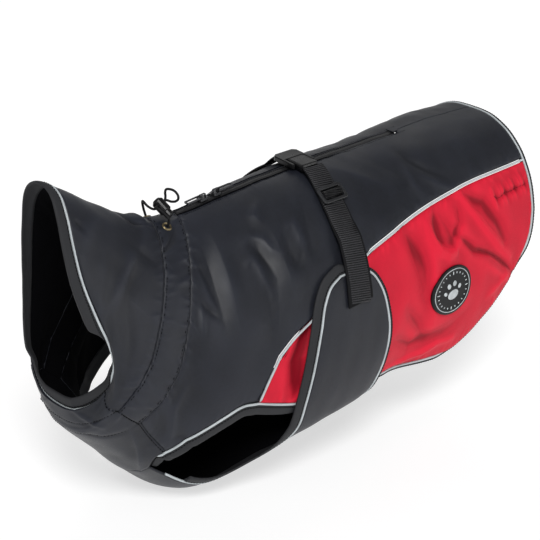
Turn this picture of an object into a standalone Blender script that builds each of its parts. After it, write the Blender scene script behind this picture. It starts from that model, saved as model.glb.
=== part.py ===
"""A winter coat for a dog, hollow and open, in the shape it has when worn.

The head end points to -X, the tail end to +X and the spine lies on Y = 0. The origin is at the
spine under the girth strap. Every cloth piece is cut from one body form, which is read with two
numbers: the station, in millimetres along the spine, and the turn, in degrees from the spine
(0) down the near side (90) to the belly (180) and up the far side (negative turns).
"""

import math
from collections import namedtuple

import bmesh
import bpy
import numpy as np
from mathutils import Matrix, Vector

MM = 0.001

# Walls and edges, in millimetres.
CLOTH = 1.8              # shell, wadding and lining of a panel together
SEAM_GAP = 0.5
HALF_GAP = SEAM_GAP / 2
HEM_GAP = 0.3            # between an edge of the body form and the cloth that follows it
PIPING_RADIUS = 1.2
PIPING_SEAT = 1.55       # from a panel's edge to the middle of its piping
PIPING_DEPTH = -0.4      # the middle of a piping, from the outer face of the cloth
BINDING_START = 3.15     # from a panel's edge to its binding
BINDING_WALL = 2.2
WIDE_BINDING = 10.0      # round the neck and the front leg openings
THIN_BINDING = 2.6       # along the flanks, the tail and behind the flap
BINDING_CURL = 1.6       # how far a wide binding's free edge turns in
FLAP_CURL = 1.0

# Stations of the cross seams, in millimetres from the strap.
NECK = -303
TUNNEL_FRONT = -193
TUNNEL_REAR = -162
TAIL = 246
ZIP_END = 128

TUNNEL_SWELL, TUNNEL_WALL = 1.6, 2.4

ZIP_WIDTH = 9.2
ZIP_WALL = 1.2
COIL_HALF = 1.9
COIL_HEIGHT = 1.1
SLIDER_SIZE = (10.5, 7.6, 2.6)       # along the zip, across it and high
CROWN_HALF, CROWN_HEIGHT, CROWN_WALL, CROWN_WIDTH = 4.2, 3.6, 0.9, 1.8
PIVOT_HEIGHT, PIVOT_AHEAD = 1.3, 2.2  # of a pull's hinge, from the top and middle of its slider
PULL_LENGTH, PULL_WIDTH, PULL_RAIL = 19.0, 6.6, 1.4

FLAP_LIFT = 4.3          # outer face of the belly flap above the side panels
STRAP_STATION = -3
WEBBING = 25.0
WEBBING_WALL = 1.6
STRAP_LIFT = 7.4         # outer face of the webbing above the side panels
STRAP_LOW = 3.2          # the same above the bare back
STRAP_END_TURN = 71
STRAP_SLANT = 7.0         # how far the sewn end lies towards the tail from the buckle
LEFT_RAMP, RIGHT_RAMP = 14, 10   # degrees over which a strap rises to the buckle
HOUSING_WIDTH, HOUSING_LENGTH, HOUSING_HEIGHT = 22.0, 23.0, 7.2
HOUSING_REACH, HOUSING_LIFT = 9.0, 4.7
HOUSING_TILT_REACH = 3.0  # the buckle lies parallel to the back at this reach
ARM_WIDTH, ARM_HEIGHT, ARM_REACH, PRONG_BASE = 3.6, 5.4, 14.0, 16.0
ADJUSTER_WIDTH, ADJUSTER_LENGTH, ADJUSTER_WALL = 31.0, 19.0, 2.6
ADJUSTER_TURN, ADJUSTER_LIFT = 26, 5.0

PATCH_STATION, PATCH_TURN = 121, 88
PATCH_RADIUS = 25.5
PATCH_WALL = 1.8
PATCH_STEPS = 32

EYELET_STATION, EYELET_REACH = -181, 14.5
EYELET_RADIUS, EYELET_WIRE = 4.0, 1.1
CORD_DIAMETER = 2.4
CORD_STEPS = 3           # points of the cord for each row of its table
LOCK_CENTRE = (-181, -4, 2.6)
LOCK_AXIS = (0.25, -0.742, -0.622)   # towards the plunger
LOCK_DIAMETER, LOCK_LENGTH = 12.0, 15.0
LOCK_HOLE, LOCK_HOLE_APART, LOCK_HOLE_BACK = 3.9, 5.4, 1.5
PLUNGER_DIAMETER, PLUNGER_LENGTH, PLUNGER_IN = 9.0, 8.0, 2.0
BORE_GAP, BORE_DEPTH = 0.4, 6.3

Section = namedtuple("Section", "name back_x back_z belly_x belly_z half_width widest square"
                                " lean_high lean_low far_high far_low")

# One row for each ring of the body form, in millimetres. The key station of a row is its
# back_x. widest is the share of the height, from the top, at which the ring is widest, square
# under 1 fills the flanks out, and the leans push the near and far flanks forward or back.
SECTIONS = [
    Section("neck_edge", -303, 53, -306, -165, 58, 0.60, 0.70, -12, 26, 9, 2),
    Section("neck_middle", -250, 20, -302, -182, 63, 0.60, 0.78, -6, 8, 5, 2),
    Section("tunnel_front", -191, -9, -292, -199, 71, 0.60, 0.90, 0, 0, 0, 0),
    Section("tunnel_rear", -160, -10, -265, -226, 76, 0.60, 0.95, 0, 0, 0, 0),
    Section("shoulder", -115, -6, -236, -256, 95, 0.60, 1.0, 0, 0, 0, 0),
    Section("leg_front", -70, -3, -190, -284, 106, 0.56, 1.0, 0, 0, 0, 0),
    Section("leg_rear", -25, 0, -118, -296, 112, 0.54, 1.0, 0, 0, 0, 0),
    Section("girth", 25, 1, -35, -288, 113, 0.53, 1.0, 0, 0, 0, 0),
    Section("waist", 80, 2, 40, -268, 110, 0.52, 1.0, 0, 0, 0, 0),
    Section("loin", 135, 4, 118, -296, 106, 0.48, 1.0, 0, 0, 0, 0),
    Section("rump", 190, 6.5, 186, -306, 101, 0.44, 1.0, 0, 0, 0, 0),
    Section("tail", 243, 4.5, 254, -302, 95, 0.42, 1.0, 0, 0, 0, 0),
]

Fold = namedtuple("Fold", "name station turn to_station to_turn width height")

# The largest folds, as soft ridges (height over 0) and troughs. Widths and heights are in
# millimetres. The far side has the same folds, moved and flattened a little.
FOLDS = [
    Fold("shoulder_trough", -148, 26, -124, 62, 9, -3.2),
    Fold("shoulder_ridge", -134, 22, -108, 66, 9, 1.8),
    Fold("yoke_trough", -92, 26, -76, 74, 11, -2.0),
    Fold("yoke_ridge", -74, 30, -58, 58, 9, 1.8),
    Fold("strap_trough", -34, 22, -46, 60, 10, -1.8),
    Fold("flank_trough", 74, 60, 92, 92, 12, -3.0),
    Fold("flank_ridge", 98, 60, 104, 104, 10, 2.2),
    Fold("haunch_trough", 116, 55, 134, 76, 8, -3.2),
    Fold("haunch_ridge", 142, 56, 136, 72, 7, 2.4),
    Fold("rump_trough", 152, 56, 190, 78, 9, -2.6),
    Fold("hem_trough", 96, 112, 150, 100, 8, -1.6),
    Fold("collar_hump", -216, -8, -207, 12, 11, 3.4),
    Fold("collar_trough", -228, 24, -200, 34, 8, -2.0),
    Fold("collar_ridge", -250, 54, -204, 62, 12, 1.6),
    Fold("chest_crease", -176, 96, -140, 118, 8, 2.2),
]
FAR_SHIFT = 9            # along the spine
FAR_SHARE = 0.8          # of the near side's height
MM_PER_DEGREE = 1.9      # round the body, for the widths of folds

Edge = namedtuple("Edge", "station turn")

CHEST_SEAM = [Edge(-303, 133), Edge(-272, 131), Edge(-240, 126), Edge(-205, 120.5),
              Edge(-174, 121), Edge(-160, 125.5), Edge(-133.5, 130)]
CHEST_HEM = [Edge(-133.5, 130), Edge(-133.5, 139.5), Edge(-125, 149)]
LEG_HEM = [Edge(-133.5, 130), Edge(-123, 115.5), Edge(-112, 107.5), Edge(-101, 101.5),
           Edge(-88, 97), Edge(-73.5, 97)]
SEAM_RISE = [Edge(-73.5, 97), Edge(-70.5, 88), Edge(-66, 80)]
SEAM = [Edge(-66, 80), Edge(-55, 74.4), Edge(-38, 69.6), Edge(-12, 62.4), Edge(14, 56), Edge(60, 52),
        Edge(104, 49.3), Edge(145, 49.2), Edge(200, 52), Edge(246, 53)]
SIDE_HEM = [Edge(-73.5, 97), Edge(-46, 101), Edge(0, 108), Edge(48, 114), Edge(88, 121),
            Edge(117, 119), Edge(148, 115.5), Edge(180, 108.3), Edge(206, 100.5), Edge(225, 92.5),
            Edge(238, 84.5), Edge(244, 76)]
TAIL_LOW = [Edge(244, 76), Edge(246, 65), Edge(246, 53)]
FLAP_FRONT = [Edge(-14, 59), Edge(-24, 61.5), Edge(-29, 66), Edge(-31.5, 75), Edge(-32.5, 90),
              Edge(-31, 103), Edge(-28, 114), Edge(-29, 124), Edge(-36, 137)]
STEM_SIDE = [Edge(-36, 137), Edge(-52, 145.5), Edge(-72, 148.3), Edge(-94, 149), Edge(-125, 149)]
FLAP_REAR = [Edge(2, 59.2), Edge(17, 62.5), Edge(28, 70), Edge(34.5, 79), Edge(39.5, 90),
             Edge(40.5, 103), Edge(37, 117), Edge(34, 133), Edge(33, 150), Edge(32, 180)]
STEM_EDGE, STEM_MIDDLE = STEM_SIDE[-1], Edge(-120, 180)
TUCK_TURN, TUCK_SPREAD = 112, 46     # where the belly flap leaves the form, in degrees
TUCK_START, TUCK_END = -72, 10      # along the spine
TUCK_HEIGHT = 58
SPINE_KNOTS = (-146, -84)            # above the two ends of the leg opening

Knot = namedtuple("Knot", "along across beside")

# The drawcord's way, in millimetres from the middle of the lock: along the lock, across it
# through its holes, and beside it. The rows are the run in from the far eyelet, the loop behind
# the lock and the run out to the near eyelet; an end of the cord stands in each eyelet.
CORD_IN = [Knot(-13.1, 0.0, -20.4), Knot(-16.2, -4.1, -9.9), Knot(-7.6, -9.3, -3.4), Knot(-1.5, -6.0, -2.7)]
CORD_LOOP = [Knot(-1.5, 6.0, -2.7), Knot(-2.9, 10.3, -2.3), Knot(-5.3, 12.5, -0.4), Knot(-8.0, 12.6, 3.4),
             Knot(-8.0, 11.6, 9.1), Knot(-2.5, 11.8, 14.2), Knot(3.0, 12.7, 13.6), Knot(6.0, 13.3, 9.4),
             Knot(5.5, 12.6, 5.0), Knot(2.7, 10.6, 2.5), Knot(-1.5, 6.0, 2.7)]
CORD_OUT = [Knot(-1.5, -6.0, 2.7), Knot(0.8, -10.3, 5.5), Knot(6.0, -10.4, 7.3), Knot(14.8, -7.1, 3.8)]

# How many rows and columns of faces the pieces have.
CHEST_SEAM_ROWS, LEG_HEM_ROWS, RISE_ROWS, SEAM_ROWS = 3, 7, 4, 17
BACK_COLUMNS = 7
COLLAR_STATIONS = 3 * BACK_COLUMNS
COLLAR_ROWS, TUNNEL_ROWS = 5, 3
CHEST_HEM_ROWS = 3
WING_ROWS, STEM_ROWS, STEM_COLUMNS, FLAP_COLUMNS = 12, 5, 6, 7
ZIP_ROWS, STRAP_ROWS = 22, 12

COLOURS = {
    "nylon": ((0.030, 0.031, 0.036), 0.55, 0.0),
    "red_nylon": ((0.62, 0.028, 0.060), 0.50, 0.0),
    "piping": ((0.52, 0.56, 0.58), 0.40, 0.0),
    "binding": ((0.026, 0.026, 0.029), 0.75, 0.0),
    "webbing": ((0.022, 0.022, 0.024), 0.70, 0.0),
    "plastic": ((0.012, 0.012, 0.014), 0.30, 0.0),
    "zip": ((0.014, 0.014, 0.016), 0.60, 0.0),
    "metal": ((0.030, 0.030, 0.034), 0.28, 0.9),
    "rubber": ((0.020, 0.021, 0.024), 0.60, 0.0),
    "eyelet": ((0.42, 0.34, 0.20), 0.45, 0.8),
    "cord": ((0.012, 0.012, 0.013), 0.80, 0.0),
}


# ---------------------------------------------------------------- the body form

def smoothstep(value):
    value = np.clip(value, 0.0, 1.0)
    return value * value * (3 - 2 * value)


def spline(keys, values, at):
    """A curve through rows of a table: cubic between rows, straight beyond its ends."""
    keys, values, at = (np.asarray(x, float) for x in (keys, values, at))
    steps = np.diff(keys)
    rates = np.diff(values) / steps
    slopes = np.concatenate([
        rates[:1],
        (rates[:-1] * steps[1:] + rates[1:] * steps[:-1]) / (steps[:-1] + steps[1:]),
        rates[-1:],
    ])
    row = np.clip(np.searchsorted(keys, at, side="right") - 1, 0, len(keys) - 2)
    step = steps[row]
    t = (at - keys[row]) / step
    inside = (
        (1 + 2 * t) * (1 - t) ** 2 * values[row]
        + t * (1 - t) ** 2 * step * slopes[row]
        + t * t * (3 - 2 * t) * values[row + 1]
        + t * t * (t - 1) * step * slopes[row + 1]
    )
    before = values[0] + (at - keys[0]) * slopes[0]
    after = values[-1] + (at - keys[-1]) * slopes[-1]
    return np.where(t < 0, before, np.where(t > 1, after, inside))


STATIONS = [row.back_x for row in SECTIONS]


def section_value(name, station):
    return spline(STATIONS, [getattr(row, name) for row in SECTIONS], station)


def bare_form(station, turn):
    """A point of the body form in millimetres, for arrays of stations and turns."""
    station, turn = np.broadcast_arrays(np.asarray(station, float), np.asarray(turn, float))
    angle = np.radians(turn)
    down = (1 - np.cos(angle)) / 2
    share = down ** (np.log(section_value("widest", station)) / math.log(0.5))
    high = np.where(turn % 360 < 180, section_value("lean_high", station), section_value("far_high", station))
    low = np.where(turn % 360 < 180, section_value("lean_low", station), section_value("far_low", station))
    back_x, back_z = section_value("back_x", station), section_value("back_z", station)
    lean = 2 * (high * (1 - down) + low * down) * np.sin(angle) ** 2
    x = back_x + (section_value("belly_x", station) - back_x) * share + lean
    z = back_z + (section_value("belly_z", station) - back_z) * share
    swing = np.sin(angle)
    y = -section_value("half_width", station) * np.sign(swing) * np.abs(swing) ** section_value("square", station)
    return np.stack([x, y, z], axis=-1)


def form_normal(station, turn):
    step, twist = 0.5, 0.2
    along = bare_form(np.add(station, step), turn) - bare_form(np.subtract(station, step), turn)
    around = bare_form(station, np.add(turn, twist)) - bare_form(station, np.subtract(turn, twist))
    normal = np.cross(around, along)
    return normal / np.linalg.norm(normal, axis=-1, keepdims=True)


def fold_height(station, turn):
    """How far the folds lift the cloth at a point, in millimetres."""
    height = np.zeros(np.broadcast(station, turn).shape)
    turn = (np.asarray(turn, float) + 180) % 360 - 180
    for fold in FOLDS:
        for side in (1, -1):
            shift = 0 if side > 0 else FAR_SHIFT
            tall = fold.height * (1 if side > 0 else FAR_SHARE)
            start = np.array([fold.station + shift, fold.turn * MM_PER_DEGREE])
            end = np.array([fold.to_station + shift, fold.to_turn * MM_PER_DEGREE])
            run = end - start
            across = np.stack([station - start[0], side * turn * MM_PER_DEGREE - start[1]], axis=-1)
            place = np.clip((across @ run) / (run @ run), 0, 1)
            away = np.linalg.norm(across - place[..., None] * run, axis=-1)
            fade = 0.35 + 0.65 * np.sin(np.pi * place)
            height = height + tall * fade * np.exp(-(away / fold.width) ** 2)
    return height


def form(station, turn, out=0.0):
    """A point on the cloth in metres, out millimetres above the outer face of the panels."""
    lift = np.asarray(out, float) + fold_height(station, turn)
    return (bare_form(station, turn) + form_normal(station, turn) * lift[..., None]) * MM


def turn_for(station, reach):
    """The turn at which the form is this far from the spine's plane, in degrees."""
    sine = np.asarray(reach, float) / section_value("half_width", station)
    return np.degrees(np.arcsin(sine ** (1 / section_value("square", station))))


def edge_line(rows, count):
    """A smooth line through a table of edge points, in count equal steps."""
    points = np.array([(row.station, row.turn) for row in rows], float)
    lengths = np.linalg.norm(np.diff(points, axis=0) * [1, MM_PER_DEGREE], axis=1)
    keys = np.concatenate([[0], np.cumsum(lengths)])
    at = np.linspace(0, keys[-1], count + 1)
    return np.stack([spline(keys, points[:, 0], at), spline(keys, points[:, 1], at)], axis=-1)


def mirrored(line):
    """The same line on the far side."""
    return line * [1, -1]


def joined(*lines):
    """Lines that meet end to end, as one."""
    return np.concatenate([lines[0]] + [line[1:] for line in lines[1:]])


def patch(top, low, front, rear):
    """Stations and turns over a four-sided piece, from its four edge lines.

    top and low run from the front to the rear; front and rear run from the top to the bottom.
    """
    u = np.linspace(0, 1, len(top))[:, None, None]
    v = np.linspace(0, 1, len(front))[None, :, None]
    corners = (
        (1 - u) * (1 - v) * top[0] + (1 - u) * v * low[0] + u * (1 - v) * top[-1] + u * v * low[-1]
    )
    return (
        (1 - v) * top[:, None] + v * low[:, None] + (1 - u) * front[None] + u * rear[None] - corners
    )


def edge_frames(points, normals, closed=False):
    """The direction that leaves a piece at each point of its edge, lying in the cloth."""
    if closed:
        ahead = np.roll(points, -1, axis=0) - points
        behind = points - np.roll(points, 1, axis=0)
    else:
        ahead = np.diff(points, axis=0, append=points[-1:])
        behind = np.diff(points, axis=0, prepend=points[:1])
    ahead = ahead / np.maximum(np.linalg.norm(ahead, axis=1, keepdims=True), 1e-9)
    behind = behind / np.maximum(np.linalg.norm(behind, axis=1, keepdims=True), 1e-9)
    tangent = ahead + behind
    tangent /= np.linalg.norm(tangent, axis=1, keepdims=True)
    across = np.cross(tangent, normals)
    return across / np.linalg.norm(across, axis=1, keepdims=True)


# ---------------------------------------------------------------- objects

def clear_scene():
    for old in list(bpy.data.objects):
        bpy.data.objects.remove(old, do_unlink=True)


def new_collection(name):
    collection = bpy.data.collections.new(name)
    bpy.context.scene.collection.children.link(collection)
    return collection


def material(name):
    found = bpy.data.materials.get(name)
    if found:
        return found
    colour, roughness, metallic = COLOURS[name]
    made = bpy.data.materials.new(name)
    made.use_nodes = True
    shader = made.node_tree.nodes["Principled BSDF"]
    shader.inputs["Base Color"].default_value = (*colour, 1)
    shader.inputs["Roughness"].default_value = roughness
    shader.inputs["Metallic"].default_value = metallic
    made.diffuse_color = (*colour, 1)
    return made


def add_object(name, data, finish):
    piece = bpy.data.objects.new(name, data)
    COAT.objects.link(piece)
    data.materials.append(material(finish))
    return piece


def add_bmesh(name, bm, finish, smooth=True):
    mesh = bpy.data.meshes.new(name)
    bm.to_mesh(mesh)
    bm.free()
    if smooth:
        mesh.shade_smooth()
    return add_object(name, mesh, finish)


def solidify(piece, wall):
    shell = piece.modifiers.new("wall", "SOLIDIFY")
    shell.thickness = wall * MM
    shell.offset = -1
    shell.use_rim = True
    return piece


def cloth(name, nets, finish, wall=CLOTH):
    """A wall of cloth from nets of points on its outer face, rows by columns, that meet edge to edge."""
    bm = bmesh.new()
    for points in nets:
        rows, columns = points.shape[:2]
        first = len(bm.verts)
        bmesh.ops.create_grid(bm, x_segments=columns - 1, y_segments=rows - 1, size=1)
        bm.verts.ensure_lookup_table()
        for index in range(rows * columns):
            bm.verts[first + index].co = points[index // columns, index % columns]
    bmesh.ops.remove_doubles(bm, verts=bm.verts, dist=0.01 * MM)
    return solidify(add_bmesh(name, bm, finish), wall)


def facing_out(points, normals):
    """The net turned so that its faces look the way of the normals."""
    along = points[1:, :-1] - points[:-1, :-1]
    across = points[:-1, 1:] - points[:-1, :-1]
    if np.sum(np.cross(across, along) * normals[:-1, :-1]) < 0:
        return points[::-1]
    return points


def net_on_form(net, out=0.0, insets=None, tuck=None):
    """The points of a net over the body form. insets pulls its edges in, in millimetres."""
    station, turn = net[..., 0], net[..., 1]
    points = form(station, turn, out)
    normals = form_normal(station, turn)
    if tuck is not None:
        points = points + tuck(station, turn)
    for side, inset in (insets or {}).items():
        row = {"top": np.s_[:, 0], "low": np.s_[:, -1], "front": np.s_[0], "rear": np.s_[-1]}[side]
        away = edge_frames(points[row], normals[row])
        inner = {"top": np.s_[:, 1], "low": np.s_[:, -2], "front": np.s_[1], "rear": np.s_[-2]}[side]
        if np.sum(away * (points[inner] - points[row])) > 0:
            away = -away
        points[row] -= away * np.asarray(inset, float).reshape(-1, 1) * MM
    return facing_out(points, normals)


def cloth_on_form(name, net, finish, out=0.0, insets=None, wall=CLOTH):
    return cloth(name, [net_on_form(net, out, insets)], finish, wall)


def tube(name, points, radius, finish, closed=False, sides=1):
    """A round tube through points, such as a piping or a cord."""
    curve = bpy.data.curves.new(name, "CURVE")
    curve.dimensions = "3D"
    curve.bevel_depth = radius * MM
    curve.bevel_resolution = sides
    curve.use_fill_caps = not closed
    line = curve.splines.new("POLY")
    line.points.add(len(points) - 1)
    for knot, place in zip(line.points, points):
        knot.co = (*place, 1)
    line.use_cyclic_u = closed
    return add_object(name, curve, finish)


def band_net(points, normals, across, start, widths, curl=0.0):
    """A net for a binding: three columns beyond an edge, its free edge curled in."""
    columns = []
    for share in (0.0, 0.5, 1.0):
        reach = (start + share * widths)[:, None] * MM
        sink = (0.3 - curl * share ** 2 * widths / WIDE_BINDING)[:, None] * MM
        columns.append(points + across * reach + normals * sink)
    return np.stack(columns, axis=1)


def bevel(piece, width, segments=1):
    rounding = piece.modifiers.new("rounding", "BEVEL")
    rounding.width = width * MM
    rounding.segments = segments
    rounding.limit_method = "ANGLE"
    return piece


def box(name, size, finish, rounding=0.8, segments=1):
    bm = bmesh.new()
    bmesh.ops.create_cube(bm, size=1)
    bmesh.ops.scale(bm, vec=Vector(size) * MM, verts=bm.verts)
    return bevel(add_bmesh(name, bm, finish, smooth=False), rounding, segments)


def slab(name, outline, thickness, finish, holes=(), rounding=0.0):
    """A flat outline, with holes, given a thickness about its plane."""
    curve = bpy.data.curves.new(name, "CURVE")
    curve.dimensions = "2D"
    curve.fill_mode = "BOTH"
    curve.extrude = thickness / 2 * MM
    for ring in (outline, *holes):
        line = curve.splines.new("POLY")
        line.points.add(len(ring) - 1)
        for knot, (x, y) in zip(line.points, ring):
            knot.co = (x * MM, y * MM, 0, 1)
        line.use_cyclic_u = True
    piece = add_object(name, curve, finish)
    mesh = bpy.data.meshes.new_from_object(piece.evaluated_get(bpy.context.evaluated_depsgraph_get()))
    bpy.data.objects.remove(piece, do_unlink=True)
    bm = bmesh.new()
    bm.from_mesh(mesh)
    bpy.data.meshes.remove(mesh)
    bmesh.ops.remove_doubles(bm, verts=bm.verts, dist=0.001 * MM)
    piece = add_bmesh(name, bm, finish, smooth=False)
    return bevel(piece, rounding) if rounding else piece


def rounded_rectangle(width, length, corner, steps=3):
    points = []
    for quarter in range(4):
        middle_x = (width / 2 - corner) * (1 if quarter in (0, 3) else -1)
        middle_y = (length / 2 - corner) * (1 if quarter in (0, 1) else -1)
        for step in range(steps + 1):
            angle = math.pi / 2 * (quarter + step / steps)
            points.append((middle_x + corner * math.cos(angle), middle_y + corner * math.sin(angle)))
    return points


def turned(name, profile, finish, steps=16):
    """A turned piece from its profile of radius and height, top to bottom on the outer side."""
    bm = bmesh.new()
    knots = [bm.verts.new((radius * MM, 0, height * MM)) for radius, height in profile]
    for one, two in zip(knots, knots[1:]):
        bm.edges.new((one, two))
    if profile[0][0] > 0:
        bm.edges.new((knots[-1], knots[0]))
    piece = add_bmesh(name, bm, finish)
    screw = piece.modifiers.new("turn", "SCREW")
    screw.axis = "Z"
    screw.angle = 2 * math.pi
    screw.steps = screw.render_steps = steps
    screw.use_merge_vertices = True
    screw.merge_threshold = 0.00001
    return piece


def placed(piece, at, x_axis, z_axis):
    """Sets a piece's place and the directions of its own X and Z."""
    z_axis = Vector(z_axis).normalized()
    y_axis = z_axis.cross(Vector(x_axis)).normalized()
    x_axis = y_axis.cross(z_axis)
    turned_to = Matrix((x_axis, y_axis, z_axis)).transposed().to_4x4()
    piece.matrix_world = Matrix.Translation(Vector(at)) @ turned_to
    return piece


def cut(piece, *cutters):
    for cutter in cutters:
        cutter.hide_render = True
        cutter.display_type = "WIRE"
        COAT.objects.unlink(cutter)
        CUTTERS.objects.link(cutter)
        hole = piece.modifiers.new("hole", "BOOLEAN")
        hole.operation = "DIFFERENCE"
        hole.solver = "EXACT"
        hole.object = cutter


# ---------------------------------------------------------------- edges shared by the pieces

LINES = {}


def lay_out_edges():
    """The edge lines of the near side, each as an array of stations and turns."""
    LINES["collar_side"] = edge_line(CHEST_SEAM[:4], COLLAR_ROWS)
    LINES["tunnel_side"] = edge_line(CHEST_SEAM[3:5], TUNNEL_ROWS)
    LINES["back_side"] = edge_line(CHEST_SEAM[4:], CHEST_SEAM_ROWS)
    LINES["chest_hem"] = edge_line(CHEST_HEM, CHEST_HEM_ROWS)
    LINES["leg_hem"] = edge_line(LEG_HEM, LEG_HEM_ROWS)
    LINES["rise"] = edge_line(SEAM_RISE, RISE_ROWS)
    LINES["seam"] = edge_line(SEAM, SEAM_ROWS)
    LINES["side_hem"] = edge_line(SIDE_HEM, SEAM_ROWS)
    LINES["tail_low"] = edge_line(TAIL_LOW, RISE_ROWS)
    turns = np.linspace(0, SEAM[-1].turn, BACK_COLUMNS + 1)
    LINES["tail_top"] = np.stack([np.full(len(turns), float(TAIL)), turns], axis=-1)
    turns = np.linspace(0, CHEST_SEAM[0].turn, COLLAR_STATIONS + 1)
    LINES["neck_top"] = np.stack([np.full(len(turns), float(NECK)), turns], axis=-1)
    LINES["tunnel_front"] = cross_seam(TUNNEL_FRONT, CHEST_SEAM[3], COLLAR_STATIONS)
    LINES["tunnel_rear"] = cross_seam(TUNNEL_REAR, CHEST_SEAM[4], COLLAR_STATIONS)


def cross_seam(station, end, count):
    """A seam that runs straight down the side and then leans to the head at its lower end."""
    turns = np.linspace(0, end.turn, count + 1)
    straight = end.turn * 5 / BACK_COLUMNS
    dip = (station - end.station) * np.clip((turns - straight) / (end.turn - straight), 0, 1)
    return np.stack([station - dip, turns], axis=-1)


def line_on_form(line, out=0.0, tuck=None):
    """The points of an edge line and the directions out of the cloth there."""
    station, turn = line[:, 0], line[:, 1]
    points = form(station, turn, out)
    if tuck is None:
        return points, form_normal(station, turn)
    return points + tuck(station, turn), tucked_normal(station, turn, tuck)


def tucked_normal(station, turn, tuck):
    step, twist = 1.0, 0.5
    fore, aft = (bare_form(station + way, turn) * MM + tuck(station + way, turn) for way in (step, -step))
    past, before = (bare_form(station, turn + way) * MM + tuck(station, turn + way) for way in (twist, -twist))
    normal = np.cross(past - before, fore - aft)
    return normal / np.linalg.norm(normal, axis=-1, keepdims=True)


def finish_edge(name, line, inside, widths, out=0.0, closed=False, tuck=None, curl=BINDING_CURL,
                piped=True, skip=0):
    """The piping and the binding that follow an edge. inside is a point of the piece itself."""
    points, normals = line_on_form(line, out, tuck)
    across = edge_frames(points, normals, closed)
    if (across[len(points) // 2] @ (np.asarray(inside) - points[len(points) // 2])) > 0:
        across = -across
    if piped:
        middle = points + across * PIPING_SEAT * MM + normals * PIPING_DEPTH * MM
        tube(name + "_piping", middle, PIPING_RADIUS, "piping", closed)
    keep = np.s_[skip:len(points) - skip]
    net = band_net(points[keep], normals[keep], across[keep], BINDING_START, widths[keep], curl)
    normals = np.repeat(normals[keep][:, None], 3, axis=1)
    if closed:
        net = np.concatenate([net, net[:1]])
        normals = np.concatenate([normals, normals[:1]])
    cloth(name + "_binding", [facing_out(net, normals)], "binding", BINDING_WALL)


# ---------------------------------------------------------------- the cloth pieces

def make_collar():
    side = LINES["collar_side"]
    neck = joined(mirrored(LINES["neck_top"])[::-1], LINES["neck_top"])
    tunnel = joined(mirrored(LINES["tunnel_front"])[::-1], LINES["tunnel_front"])
    net = patch(neck, tunnel, mirrored(side), side)
    cloth_on_form("collar", net, "nylon",
                  insets={"top": 2 * HEM_GAP, "low": HALF_GAP, "front": HALF_GAP, "rear": HALF_GAP})


def make_tunnel():
    side = LINES["tunnel_side"]
    front = joined(mirrored(LINES["tunnel_front"])[::-1], LINES["tunnel_front"])
    rear = joined(mirrored(LINES["tunnel_rear"])[::-1], LINES["tunnel_rear"])
    net = patch(front, rear, mirrored(side), side)
    swell = np.sin(np.linspace(0, math.pi, TUNNEL_ROWS + 1)) * TUNNEL_SWELL
    cloth_on_form("drawstring_tunnel", net, "nylon", out=np.broadcast_to(swell, net.shape[:2]),
                  insets={edge: HALF_GAP for edge in ("top", "low", "front", "rear")}, wall=TUNNEL_WALL)


def far_side(line):
    """A line of the near side on the far side, with turns past the belly."""
    return line * [1, -1] + [0, 360]


def make_chest():
    side = joined(LINES["collar_side"], LINES["tunnel_side"], LINES["back_side"])
    rear = joined(LINES["chest_hem"], stem_seam(), far_side(LINES["chest_hem"])[::-1])
    insets = np.full(len(rear), 2 * HEM_GAP)
    insets[CHEST_HEM_ROWS + 1:-CHEST_HEM_ROWS - 1] = HALF_GAP
    net = patch(side, far_side(side), cross_line(NECK, side[0, 1], len(rear) - 1), rear)
    cloth_on_form("chest_panel", net, "nylon",
                  insets={"top": SEAM_GAP, "low": SEAM_GAP, "front": HEM_GAP, "rear": insets})


def cross_line(station, turn, count):
    """A line under the belly at one station, from the near side to the far side."""
    turns = np.linspace(turn, 360 - turn, count + 1)
    return np.stack([np.full(count + 1, float(station)), turns], axis=-1)


def stem_seam():
    """The seam between the chest panel and the belly flap."""
    line = cross_line(STEM_EDGE.station, STEM_EDGE.turn, STEM_COLUMNS)
    middle = 1 - np.abs(line[:, 1] - 180) / (180 - STEM_EDGE.turn)
    line[:, 0] += (STEM_MIDDLE.station - STEM_EDGE.station) * smoothstep(middle)
    return line


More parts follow.
